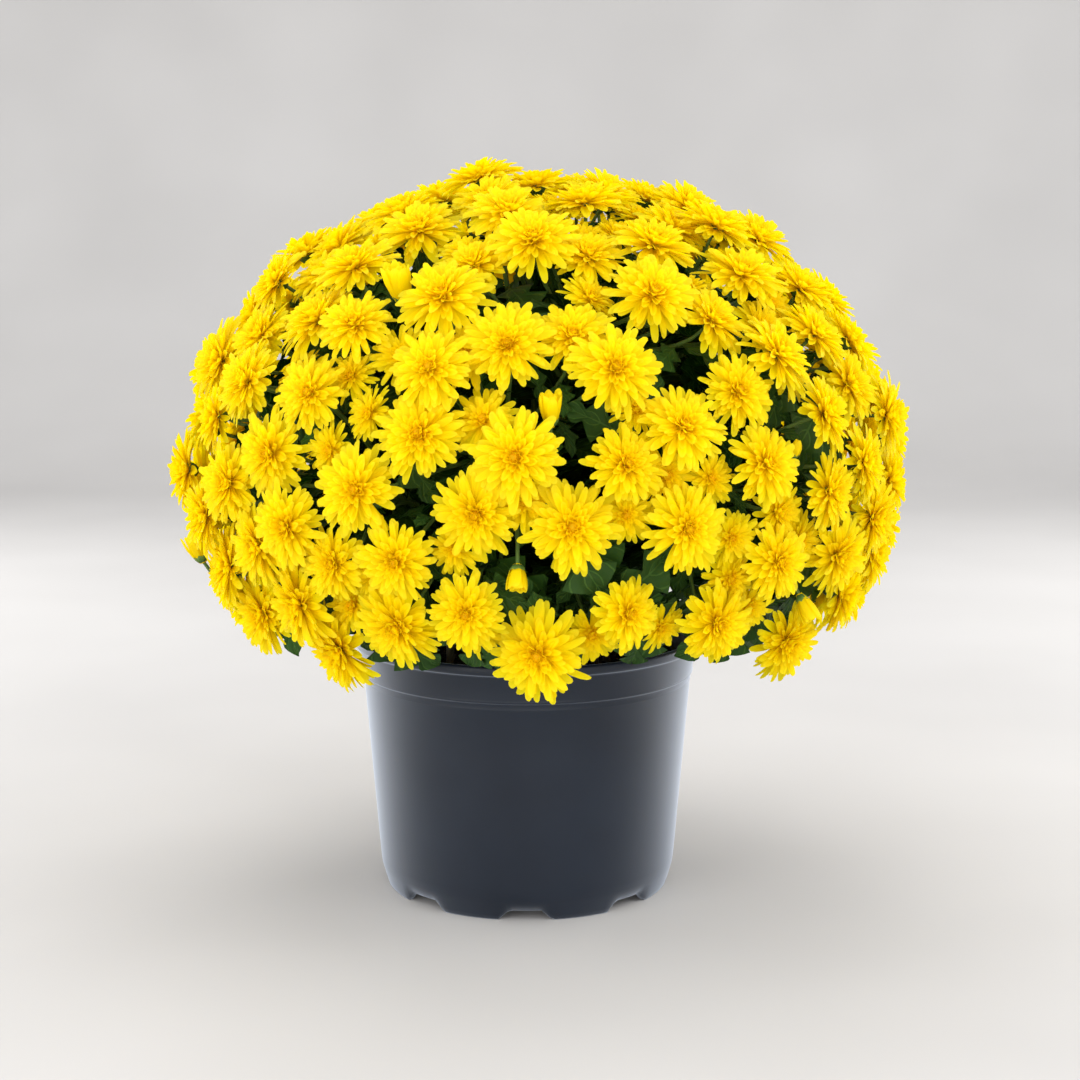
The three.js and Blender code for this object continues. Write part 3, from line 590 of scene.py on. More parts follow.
# Places along a petal from its root to its tip, and its width there as a share of its greatest.
LONG_PETAL = np.array([(0.0, 0.5), (0.3, 0.84), (0.58, 1.0), (0.8, 0.96), (0.94, 0.7), (1.0, 0.25)])
SHORT_PETAL = np.array([(0.0, 0.5), (0.5, 0.96), (0.86, 0.84), (1.0, 0.3)])
PETAL_COLUMNS = np.array([-1.0, 0.0, 1.0])
SHORT_FROM = 0.6  # petals further in than this are short
HEART_RADIUS = 3.6
HEART_HEIGHT = 5.2
HEART_RINGS, HEART_SIDES = 5, 12
CALYX_RINGS, CALYX_SIDES = 5, 14
BUD_CLOSED = 5.0


def petals(outline, at, axis, turn, root, height, length, width, elevation, curl, channel, roll, sway):
    """Strap petals. Each runs out from the axis of its flower; its slope starts at elevation less half its
    curl and changes evenly by curl, both in radians. It is as wide along its line as its outline says, its
    edges stand up by channel times the square of the place across, roll turns it about its own line and
    sway bends it sideways with the square of the way along. The sizes have a row for each flower and a
    column for each petal."""
    rows, widths = outline[:, 0], outline[:, 1]
    turn, root, height, length, width, elevation, curl, channel, roll, sway = (
        np.broadcast_to(values, turn.shape)[..., None]
        for values in (turn, root, height, length, width, elevation, curl, channel, roll, sway)
    )
    at, axis = at[:, None, None], axis[:, None, None]
    out = turned(*frames_of(axis), turn)
    side = np.cross(axis, out)
    slope = elevation + curl * ((rows[1:] + rows[:-1]) / 2 - 0.5)
    step = np.diff(rows) * length
    zero = np.zeros(length.shape)
    level = root + np.concatenate([zero, np.cumsum(step * np.cos(slope), axis=-1)], axis=-1)
    rise = height + np.concatenate([zero, np.cumsum(step * np.sin(slope), axis=-1)], axis=-1)
    line = at + out * level[..., None] + axis * rise[..., None] + side * (sway * rows**2)[..., None]
    tilt = (elevation + curl * (rows - 0.5))[..., None]
    upper = axis * np.cos(tilt) - out * np.sin(tilt)
    roll = roll[..., None]
    flat = side * np.cos(roll) + upper * np.sin(roll)
    lift = upper * np.cos(roll) - side * np.sin(roll)
    half = (width / 2 * widths)[..., None]
    place = half * PETAL_COLUMNS
    raised = channel[..., None] * half * PETAL_COLUMNS**2
    level_points = line[..., None, :] + flat[..., None, :] * place[..., None]
    return level_points + lift[..., None, :] * raised[..., None]


def add_petals(build, outline, inner, points, draw):
    """Adds petals, with the place across each from 0 to 1 and along it, how far in it stands and a draw."""
    across = np.broadcast_to((PETAL_COLUMNS + 1) / 2, points.shape[-3:-1])
    place = stacked(across, outline[:, :1])
    build.add(points, 0, along=place, draw=stacked(inner, draw)[..., None, None, :])


def flower_petals(build, at, axis, radius, seeds, looks, fullness=1.0):
    """The petals of open flowers, from the reflexed outer ones to the incurved tuft of the heart. They
    follow each other by the golden angle, and each size is a power curve of how far in a petal stands,
    from 0 at the outside to 1."""
    count = int(looks.petals * fullness)
    k = np.arange(count)
    share = k / (count - 1)
    radius = radius[:, None]
    size = radius / BLOOM_RADIUS
    first = 360 * chance(seeds, 11)[:, None]
    for outline, own in ((LONG_PETAL, share < SHORT_FROM), (SHORT_PETAL, share >= SHORT_FROM)):
        inner = share[None, own]
        draw = seeds[:, None] * count + k[None, own]
        length = radius * looks.reach * (1 - 0.8 * inner**1.6) * between(0.8, 1.1, draw, 13)
        points = petals(
            outline,
            at,
            axis,
            turn=np.radians(GOLDEN_ANGLE * k[None, own] + first + between(-8, 8, draw, 12)),
            root=(3.4 * (1 - inner) + 0.5) * size,
            height=(-2.4 + 3.4 * inner) * size,
            length=length,
            width=looks.petal_width * size * (1 - 0.4 * inner**1.4) * between(0.84, 1.14, draw, 14),
            elevation=np.radians(-6 + 86 * inner**1.6 + between(-9, 9, draw, 15)),
            curl=np.radians(-30 + 70 * inner + between(-18, 18, draw, 16)),
            channel=0.25 + 0.65 * inner,
            roll=np.radians(between(-20, 20, draw, 17)),
            sway=between(-0.13, 0.13, draw, 18) * length,
        )
        add_petals(build, outline, inner, points, chance(draw, 19))


def heart_buttons(build, at, axis, radius, seeds):
    """The crowded florets in the middle of a bloom as one knobbly button: a low dome with waves on it."""
    share = np.linspace(0, 1, HEART_RINGS)[:, None]
    turn = circle(HEART_SIDES)
    size = (radius / BLOOM_RADIUS)[:, None, None]
    knobs = 1 + 0.16 * np.cos(6 * turn + 9 * share)
    wide = HEART_RADIUS * size * np.sin(share * np.pi / 2) ** 0.9 * knobs
    rise = np.cos(share * np.pi / 2) ** 0.6
    high = HEART_HEIGHT * size * (rise + 0.1 * np.sin(5 * turn + 14 * share) * share)
    points = rings_round(at, axis, wide, high, turn)
    place = stacked(turn / (2 * np.pi), 0.7 * share)
    draw = stacked(1.0, chance(seeds, 20))
    build.add(points[:, ::-1], 0, closed=True, along=place[::-1], draw=draw[:, None, None])


def calyx_cups(build, at, axis, depth, spread, seeds):
    """Green cups of overlapping bracts below the flowers: bowls with a scalloped rim that narrow to the
    stalk, their radius following the square root of the height."""
    share = np.linspace(0, 1, CALYX_RINGS)[:, None]
    turn = circle(CALYX_SIDES)
    rim = 1 + 0.12 * np.cos(7 * turn) * (share > 0.9)
    wide = spread[:, None, None] * (0.24 + 0.76 * np.sqrt(share)) * rim
    high = depth[:, None, None] * (share - 1 + 0.13 * np.cos(7 * turn) * share)
    place = stacked(turn / (2 * np.pi), share)
    draw = stacked(chance(seeds, 21), chance(seeds, 22))
    points = rings_round(at, axis, wide, high, turn)
    build.add(points, 1, closed=True, along=place, draw=draw[:, None, None])


def bud_petals(build, at, axis, radius, half, seeds, looks):
    """Petals of a bud. Half open, they stand up in a sheaf that widens and stays open at its ragged tip;
    those of a bud slimmer than BUD_CLOSED millimetres bend together again over its tip."""
    k = np.arange(looks.bud_petals)[None]
    inner = k / (looks.bud_petals - 1)
    draw = seeds[:, None] * looks.bud_petals + k
    radius, half = radius[:, None], half[:, None]
    length = 2 * half * (1 - 0.14 * inner) * between(0.88, 1.03, draw, 23)
    closed = radius < BUD_CLOSED
    points = petals(
        LONG_PETAL,
        at,
        axis,
        turn=np.radians(GOLDEN_ANGLE * k + 360 * chance(seeds, 24)[:, None]),
        root=(0.34 - 0.26 * inner) * radius,
        height=-half,
        length=length,
        width=0.85 * radius * (1 - 0.3 * inner),
        elevation=np.radians(76 + 12 * inner + 14 * closed * (1 - inner)),
        curl=np.radians(36 - 22 * inner + 40 * closed * (1 - inner)),
        channel=0.4,
        roll=np.radians(between(-9, 9, draw, 25)),
        sway=between(-0.05, 0.05, draw, 26) * length,
    )
    add_petals(build, LONG_PETAL, 0.2 + 0.3 * inner, points, chance(draw, 27))


# ---- Leaves ----

PLAIN_GRID = (12, 5)  # rows and columns of a leaf deep in the plant
FINE_GRID = (17, 7)  # and of one in plain sight
LEAF_WIDTH = 0.33  # half of it, as a share of the length
LOBES = 3.1  # pairs of lobes


def add_leaves(build, root, along, across, length, seeds, grid=PLAIN_GRID):
    """Lobed leaves. The half width is a long oval times waves that cut three pairs of lobes, which lean
    towards the tip, with small teeth on their edges. The blade arches along its rib, folds up from the rib
    and ripples towards its edge."""
    u = np.linspace(0, 1, grid[0])[:, None]
    v = np.linspace(-1, 1, grid[1])[None]
    oval = np.sin(np.pi * u**0.75) ** 0.7 * (1 - 0.25 * u) + 0.035
    phase = 2 * np.pi * (LOBES * u - 0.62)
    lobes = 0.7 + 0.3 * np.cos(phase) + 0.07 * np.cos(3 * phase)
    stalk = np.clip((u - 0.1) / 0.12, 0, 1)
    sideways = LEAF_WIDTH * oval * (lobes * stalk + 0.08 * (1 - stalk)) * v
    forward = np.clip(u + 0.1 * np.abs(v) ** 1.5 * oval, 0, 1.02)
    ripple = 0.022 * np.sin(2 * np.pi * (LOBES * u + 0.2)) * v**2
    droop = between(0.7, 1.5, seeds, 31)[:, None, None] * LEAF_ARCH * (u - 1.5 * u**2)
    swing = between(-0.12, 0.12, seeds, 32)[:, None, None] * u**2
    root, along, across = root[:, None, None], along[:, None, None], across[:, None, None]
    shape = along * forward[..., None] + across * (sideways + swing)[..., None]
    shape = shape + np.cross(along, across) * (0.22 * np.abs(sideways) + ripple + droop)[..., None]
    place = stacked((v + 1) / 2, u)
    draw = stacked(chance(seeds, 33), chance(seeds, 34))
    build.add(root + shape * length[:, None, None, None], 1, along=place, draw=draw[:, None, None])


def frame_leaves(number):
    """The leaves that this stem's solid carries: of the places where its rule tries a leaf, those where the
    solid has a corner at the leaf's tip."""
    shares = np.array(LEAF_NODES)
    centre, slope = bezier(STEMS[number], shares)
    radius = STEM_RADIUS + (STEM_FORK_RADIUS - STEM_RADIUS) * shares
    side = np.array([1.0, 0.0, 0.0])
    first = unit(side - slope * dot(side, slope))
    ring = turned(first[:, None], np.cross(slope, first)[:, None], circle(STEM_SIDES))
    rings = centre[:, None] + ring * radius[:, None, None]
    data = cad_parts[f"stem_{number + 1:02}"].data
    corners = np.empty(len(data.vertices) * 3, np.float32)
    data.vertices.foreach_get("co", corners)
    corners = corners.reshape(-1, 3) / MM
    found = []
    for attempt in range(LEAF_TRIES):
        low = (2 * attempt + number) % (LOW_NODES - 1)
        side = (3 * attempt + number + attempt // 4) % STEM_SIDES
        lower, right, left = rings[low, side], rings[low + 1, (side + 1) % 4], rings[low + 1, side]
        normal = unit(np.cross(right - lower, left - lower))
        upwards = unit((right + left) / 2 - lower)
        along = unit(normal * LEAF_SPREAD + upwards * LEAF_RISE)
        across = left - right
        across = unit(across - along * dot(across, along))
        length = float(LEAF_LENGTH * between(0.75, 1.1, number * 20 + attempt, 8))
        root = (right + left) / 2
        upper = -np.cross(across, along)
        tip = root + along * length - upper * 0.5 * LEAF_ARCH * length
        if length_of(corners - tip).min() < 0.05:
            found.append((root, along, across, length, attempt))
    return found


# ---- Materials ----

TURN = 6.2832  # radians
MIX = {"data_type": "RGBA", "blend_type": "MIX"}
MULTIPLY = {"data_type": "RGBA", "blend_type": "MULTIPLY"}
PETAL_TINTS = [(0.0, "#ffe200"), (0.3, "#ffed00"), (0.8, "#ffee00"), (1.0, "#ffef24")]
HEART_TINTS = [(0.0, "#ffca00"), (0.5, "#ffe000"), (1.0, "#ffe900")]
PETAL_VEINS = 40.0  # radians across a petal: 0.75 mm apart, as coarse as they need to be to show
STEM_RIBS = 6

# How many patches of each pattern there are to a metre.
BRACT_PATCHES = 2500.0  # 0.4 mm wide
LEAF_PATCHES = 1300.0  # 0.8 mm
PLASTIC_GRAIN = 1400.0  # 0.7 mm, coarser than the real grain so that it shows
PLASTIC_PATCHES = 14.0  # 70 mm
PEAT_CRUMBS = 420.0  # 2.4 mm
PEAT_FIBRES = 900.0  # 1.1 mm
FLOOR_PATCHES = 3.0  # 330 mm


def add_node(material, kind, links=(), stops=(), **settings):
    """Adds a shader node with its settings. Each of its sockets is linked or gets a plain value, and a
    colour ramp its (place, hex colour) stops. Gives back its outputs."""
    tree = material.node_tree
    node = tree.nodes.new("ShaderNode" + kind)
    for name, value in settings.items():
        setattr(node, name, value)
    for socket, value in dict(links).items():
        if isinstance(value, bpy.types.NodeSocket):
            tree.links.new(value, node.inputs[socket])
        else:
            node.inputs[socket].default_value = value
    for _ in stops[2:]:
        node.color_ramp.elements.new(0.5)
    for order, (place, code) in enumerate(stops):
        node.color_ramp.elements[order].position = place
        node.color_ramp.elements[order].color = srgb(code)
    return node.outputs


def new_material(name):
    """An empty material, and the function that adds nodes to it."""
    material = bpy.data.materials.new(name)
    material.use_nodes = True
    material.node_tree.nodes.clear()
    return material, functools.partial(add_node, material)


def own_maps(node):
    """The places across and along a piece and the two free values, from its own UV maps."""
    place = node("SeparateXYZ", {0: node("UVMap", uv_map="along")[0]})
    free = node("SeparateXYZ", {0: node("UVMap", uv_map="draw")[0]})
    return place[0], place[1], free[0], free[1]


def petal_material():
    """Living ray florets: thin waxy tissue full of yellow pigment that lets light through. It is golden at
    the root and in the heart and lemon at the tips, with fine lengthwise veins under a millimetre apart."""
    material, node = new_material("ray_floret_tissue")
    across, along, inner, draw = own_maps(node)
    outer = node("ValToRGB", {0: along}, PETAL_TINTS)
    heart = node("ValToRGB", {0: along}, HEART_TINTS)
    depth = node("Math", {0: inner, 1: 2.6}, operation="POWER")[0]
    tint = node("Mix", {0: depth, 6: outer[0], 7: heart[0]}, **MIX)[2]
    line = node("Math", {0: across, 1: PETAL_VEINS}, operation="MULTIPLY")[0]
    veins = node("Math", {0: line}, operation="SINE")[0]
    veined = node("Math", {0: veins, 1: 0.05, 2: 0.05}, operation="MULTIPLY_ADD")[0]
    tint = node("Mix", {0: veined, 6: tint, 7: srgb("#ffd800")}, **MULTIPLY)[2]
    own = node("Math", {0: draw, 1: 0.25}, operation="MULTIPLY")[0]
    tint = node("Mix", {0: own, 6: tint, 7: srgb("#ffe800")}, **MIX)[2]
    bump = node("Bump", {"Height": veins, "Strength": 0.25, "Distance": 0.0002})[0]
    skin = {"Base Color": tint, "Normal": bump, "Roughness": 0.6, "IOR": 1.42, "Specular IOR Level": 0.22}
    surface = [node("BsdfPrincipled", skin)[0], node("BsdfTranslucent", {"Color": tint})[0]]
    node("OutputMaterial", {0: node("MixShader", {0: 0.5, 1: surface[0], 2: surface[1]})[0]})
    return material


def bract_material():
    """The green bracts of a calyx: matt, softly hairy, paler along their rims."""
    material, node = new_material("calyx_bracts")
    _, along, _, _ = own_maps(node)
    tint = node("ValToRGB", {0: along}, [(0.0, "#2c4a1c"), (0.6, "#4a7228"), (1.0, "#7c9a3c")])[0]
    noise = node("TexNoise", {0: node("TexCoord")["Object"], "Scale": BRACT_PATCHES, "Detail": 3.0})
    tint = node("Mix", {0: 0.35, 6: tint, 7: noise["Color"]}, **MULTIPLY)[2]
    bump = node("Bump", {"Height": noise[0], "Strength": 0.5, "Distance": 0.0003})[0]
    skin = node("BsdfPrincipled", {"Base Color": tint, "Normal": bump, "Roughness": 0.7})[0]
    node("OutputMaterial", {0: skin})
    return material


def leaf_material():
    """Leaf blades: dark green above and paler below, almost matt. A pale midrib and side veins run out
    into the lobes, and the blade is quilted between them."""
    material, node = new_material("leaf_blade")
    across, along, draw, _ = own_maps(node)
    beside = node("Math", {0: across, 1: 0.5}, operation="SUBTRACT")[0]
    place = node("Math", {0: beside}, operation="ABSOLUTE")[0]
    rib = node("Math", {0: place, 1: 0.022}, operation="LESS_THAN")[0]
    slanted = node("Math", {0: place, 1: -0.42, 2: along}, operation="MULTIPLY_ADD")[0]
    phase = node("Math", {0: slanted, 1: TURN * 2 * LOBES}, operation="MULTIPLY")[0]
    wave = node("Math", {0: phase}, operation="SINE")[0]
    vein = node("Math", {0: wave, 1: 0.94}, operation="GREATER_THAN")[0]
    lines = node("Math", {0: rib, 1: vein}, operation="MAXIMUM")[0]
    tint = node("ValToRGB", {0: draw}, [(0.0, "#0f2a09"), (0.5, "#173c0c"), (1.0, "#255210")])[0]
    noise = node("TexNoise", {0: node("TexCoord")["Object"], "Scale": LEAF_PATCHES, "Detail": 4.0})
    tint = node("Mix", {0: 0.4, 6: tint, 7: noise["Color"]}, **MULTIPLY)[2]
    veined = node("Math", {0: lines, 1: 0.42}, operation="MULTIPLY")[0]
    tint = node("Mix", {0: veined, 6: tint, 7: srgb("#557a34")}, **MIX)[2]
    back = node("Math", {0: node("NewGeometry")["Backfacing"], 1: 0.35}, operation="MULTIPLY")[0]
    tint = node("Mix", {0: back, 6: tint, 7: srgb("#46682e")}, **MIX)[2]
    quilt = node("Math", {0: lines, 1: -1.2, 2: wave}, operation="MULTIPLY_ADD")[0]
    bump = node("Bump", {"Height": quilt, "Strength": 0.5, "Distance": 0.0006})[0]
    skin = {"Base Color": tint, "Normal": bump, "Roughness": 0.6, "Specular IOR Level": 0.14}
    surface = [node("BsdfPrincipled", skin)[0], node("BsdfTranslucent", {"Color": tint})[0]]
    node("OutputMaterial", {0: node("MixShader", {0: 0.12, 1: surface[0], 2: surface[1]})[0]})
    return material


def stem_material():
    """Stems: ribbed green skin that turns brown and woody towards the soil."""
    material, node = new_material("stem_skin")
    across, _, wood, _ = own_maps(node)
    line = node("Math", {0: across, 1: TURN * STEM_RIBS}, operation="MULTIPLY")[0]
    ribs = node("Math", {0: line}, operation="SINE")[0]
    tint = node("ValToRGB", {0: wood}, [(0.0, "#53712f"), (0.55, "#3d5524"), (1.0, "#4a3c25")])[0]
    shadow = node("Math", {0: ribs, 1: 0.12, 2: 0.12}, operation="MULTIPLY_ADD")[0]
    tint = node("Mix", {0: shadow, 6: tint, 7: srgb("#203010")}, **MULTIPLY)[2]
    bump = node("Bump", {"Height": ribs, "Strength": 0.5, "Distance": 0.0003})[0]
    skin = node("BsdfPrincipled", {"Base Color": tint, "Normal": bump, "Roughness": 0.6})[0]
    node("OutputMaterial", {0: skin})
    return material


def pot_material():
    """Injection-moulded polypropylene, charcoal with a blue cast: satin, with a faint grain, patches that
    are more worn, and a film of dust that shows pale where the wall turns away."""
    material, node = new_material("moulded_polypropylene")
    place = node("TexCoord")["Object"]
    grain = node("TexNoise", {0: place, "Scale": PLASTIC_GRAIN, "Detail": 2.0})[0]
    cloud = node("TexNoise", {0: place, "Scale": PLASTIC_PATCHES, "Detail": 3.0})[0]
    skin = {
        "Base Color": node("ValToRGB", {0: cloud}, [(0.3, "#101722"), (0.7, "#161e2a")])[0],
        "Normal": node("Bump", {"Height": grain, "Strength": 0.12, "Distance": 0.0002})[0],
        "Roughness": node("MapRange", {"Value": cloud, "To Min": 0.36, "To Max": 0.48})[0],
        "IOR": 1.49,
        "Specular IOR Level": 0.3,
        "Sheen Weight": 0.4,
        "Sheen Roughness": 0.3,
        "Sheen Tint": srgb("#d4e4ff"),
    }
    away = node("Math", {0: node("LayerWeight", {0: 0.5})["Facing"], 1: 2.9}, operation="POWER")[0]
    film = node("Math", {0: away, 1: 0.88}, operation="MULTIPLY")[0]
    dust = node("BsdfGlossy", {"Roughness": 0.5, "Color": srgb("#e4ecf8")})[0]
    plastic = node("BsdfPrincipled", skin)[0]
    node("OutputMaterial", {0: node("MixShader", {0: film, 1: plastic, 2: dust})[0]})
    return material


def peat_material():
    """Moist peat: near black fibres with brown crumbs."""
    material, node = new_material("moist_peat")
    place = node("TexCoord")["Object"]
    crumbs = node("TexVoronoi", {0: place, "Scale": PEAT_CRUMBS})[0]
    fibres = node("TexNoise", {0: place, "Scale": PEAT_FIBRES, "Detail": 6.0})[0]
    tint = node("ValToRGB", {0: fibres}, [(0.3, "#120c08"), (0.55, "#2a1d13"), (0.75, "#4a3422")])[0]
    bump = node("Bump", {"Height": crumbs, "Strength": 0.9, "Distance": 0.002})[0]
    skin = node("BsdfPrincipled", {"Base Color": tint, "Normal": bump, "Roughness": 0.95})[0]
    node("OutputMaterial", {0: skin})
    return material


def floor_material():
    """A plain pale matt board."""
    material, node = new_material("pale_board")
    noise = node("TexNoise", {0: node("TexCoord")["Object"], "Scale": FLOOR_PATCHES, "Detail": 2.0})[0]
    tint = node("ValToRGB", {0: noise}, [(0.3, "#bcbab8"), (0.7, "#c3c1bf")])[0]
    node("OutputMaterial", {0: node("BsdfPrincipled", {"Base Color": tint, "Roughness": 0.6})[0]})
    return material


# ---- Sizes and colours that a user would change ----


class BloomSettings(bpy.types.PropertyGroup):
    """How many petals the blooms and buds have, and how large they are"""

    petals: IntProperty(name="Petals", description="Petals of one open bloom", default=140, min=20, max=160)
    petal_width: FloatProperty(
        name="Petal width", description="Width of an outer petal, in millimetres", default=4.8, min=2
    )
    reach: FloatProperty(
        name="Reach",
        description="Length of an outer petal as a share of the bloom's radius",
        default=0.9,
        subtype="FACTOR",
    )
    bud_petals: IntProperty(name="Bud petals", description="Petals of a bud", default=26, min=8)


class LeafSettings(bpy.types.PropertyGroup):
    """How many leaves the stems have, and how long they are"""

    per_stem: IntProperty(
        name="Leaves per stem", description="Extra leaves along each stem", default=30, min=0
    )
    stem_leaf: FloatProperty(
        name="Stem leaf", description="Length of a leaf on a stem, in millimetres", default=50.0
    )
    upper_leaf: FloatProperty(
        name="Upper leaf", description="Length of a leaf below a bloom, in millimetres", default=31.0
    )


class StudioSettings(bpy.types.PropertyGroup):
    """How strong the lights are"""

    key: FloatProperty(
        name="Key light", description="Strength of the main light", default=15.0, unit="POWER"
    )
    fill: FloatProperty(
        name="Fill light", description="Strength of the soft lights", default=13.5, unit="POWER"
    )
    strips: FloatProperty(
        name="Strip lights", description="Strength of the lights behind", default=11.0, unit="POWER"
    )
    sky: FloatProperty(name="Sky", description="Strength of the pale surroundings", default=1.2)
    sky_colour: FloatVectorProperty(
        name="Sky colour", description="Their colour", subtype="COLOR", default=(0.9, 0.905, 0.92)
    )


# ---- Operators ----

# How far below its heart a flower's calyx starts and ends, and how wide it is.
BLOOM_CALYX = (0.6, BLOOM_BASE_DEPTH, 5.6)
YOUNG_CALYX = (0.4, YOUNG_BASE_DEPTH, 4.2)
STEM_RINGS, STEM_ROUND, STEM_LENGTH = 22, 8, 150.0
STALK_RINGS, STALK_ROUND, STALK_LENGTH = 11, 6, 60.0
STALK_RADIUS = 1.55
STALK_TOP_RADIUS = 1.05
STALK_PLACES = (0.68, 0.99)  # between these shares of the stem the stalks leave it
BEHIND_BLOOMS = 0.97  # the share of the dome's reach that a leaf's tip stays within
OVER_POT = 160.0
POT_SPACE = 125.0
LOWEST_TIP = 120.0


class CHRYSANTHEMUM_OT_blooms(bpy.types.Operator):
    """Petals and calyces of the open blooms, one piece for each spray"""

    bl_idname = "chrysanthemum.blooms"
    bl_label = "Blooms"

    def execute(self, context):
        looks = context.scene.chrysanthemum_blooms
        materials = [petal_material(), bract_material()]
        for number in range(SPRAYS):
            own = np.flatnonzero((HEADS["spray"] == number) & ~HEADS["bud"])
            young = np.flatnonzero(YOUNG["spray"] == number)
            build = Build()
            heads = [HEADS[name][own] for name in ("at", "axis", "radius")]
            self.add_flowers(build, *heads, own, looks, BLOOM_CALYX)
            heads = [YOUNG[name][young] for name in ("at", "axis", "radius", "index")]
            self.add_flowers(build, *heads, looks, YOUNG_CALYX, YOUNG_FULLNESS)
            piece = build.mesh(f"spray_{number + 1:02}_flowers", materials)
            settle_piece(piece, "petals", f"blooms_{number + 1:02}")
        return {"FINISHED"}

    def add_flowers(self, build, at, axis, radius, seeds, looks, calyx, fullness=1.0):
        """Petals, heart and calyx, which starts a little below the heart and ends where the stalk does."""
        below, bottom, spread = calyx
        one = np.ones(len(seeds))
        flower_petals(build, at, axis, radius, seeds, looks, fullness)
        heart_buttons(build, at, axis, radius, seeds)
        calyx_cups(build, at - below * axis, axis, (bottom - below) * one, spread * one, seeds)


class CHRYSANTHEMUM_OT_buds(bpy.types.Operator):
    """Half-open blooms and buds in their green cups"""

    bl_idname = "chrysanthemum.buds"
    bl_label = "Buds"

    def execute(self, context):
        looks = context.scene.chrysanthemum_blooms
        materials = [bpy.data.materials["ray_floret_tissue"], bpy.data.materials["calyx_bracts"]]
        for order, head in enumerate(np.flatnonzero(HEADS["bud"])):
            own = np.array([head])
            at, axis, radius, half = (HEADS[name][own] for name in ("at", "axis", "radius", "half"))
            build = Build()
            bud_petals(build, at, axis, radius, half, own, looks)
            calyx_cups(build, at - axis * half[:, None] * 0.5, axis, 0.52 * half, 0.66 * radius, own)
            piece = build.mesh(f"half_open_{order + 1}", materials)
            settle_piece(piece, "petals", f"bud_{order + 1}")
        return {"FINISHED"}


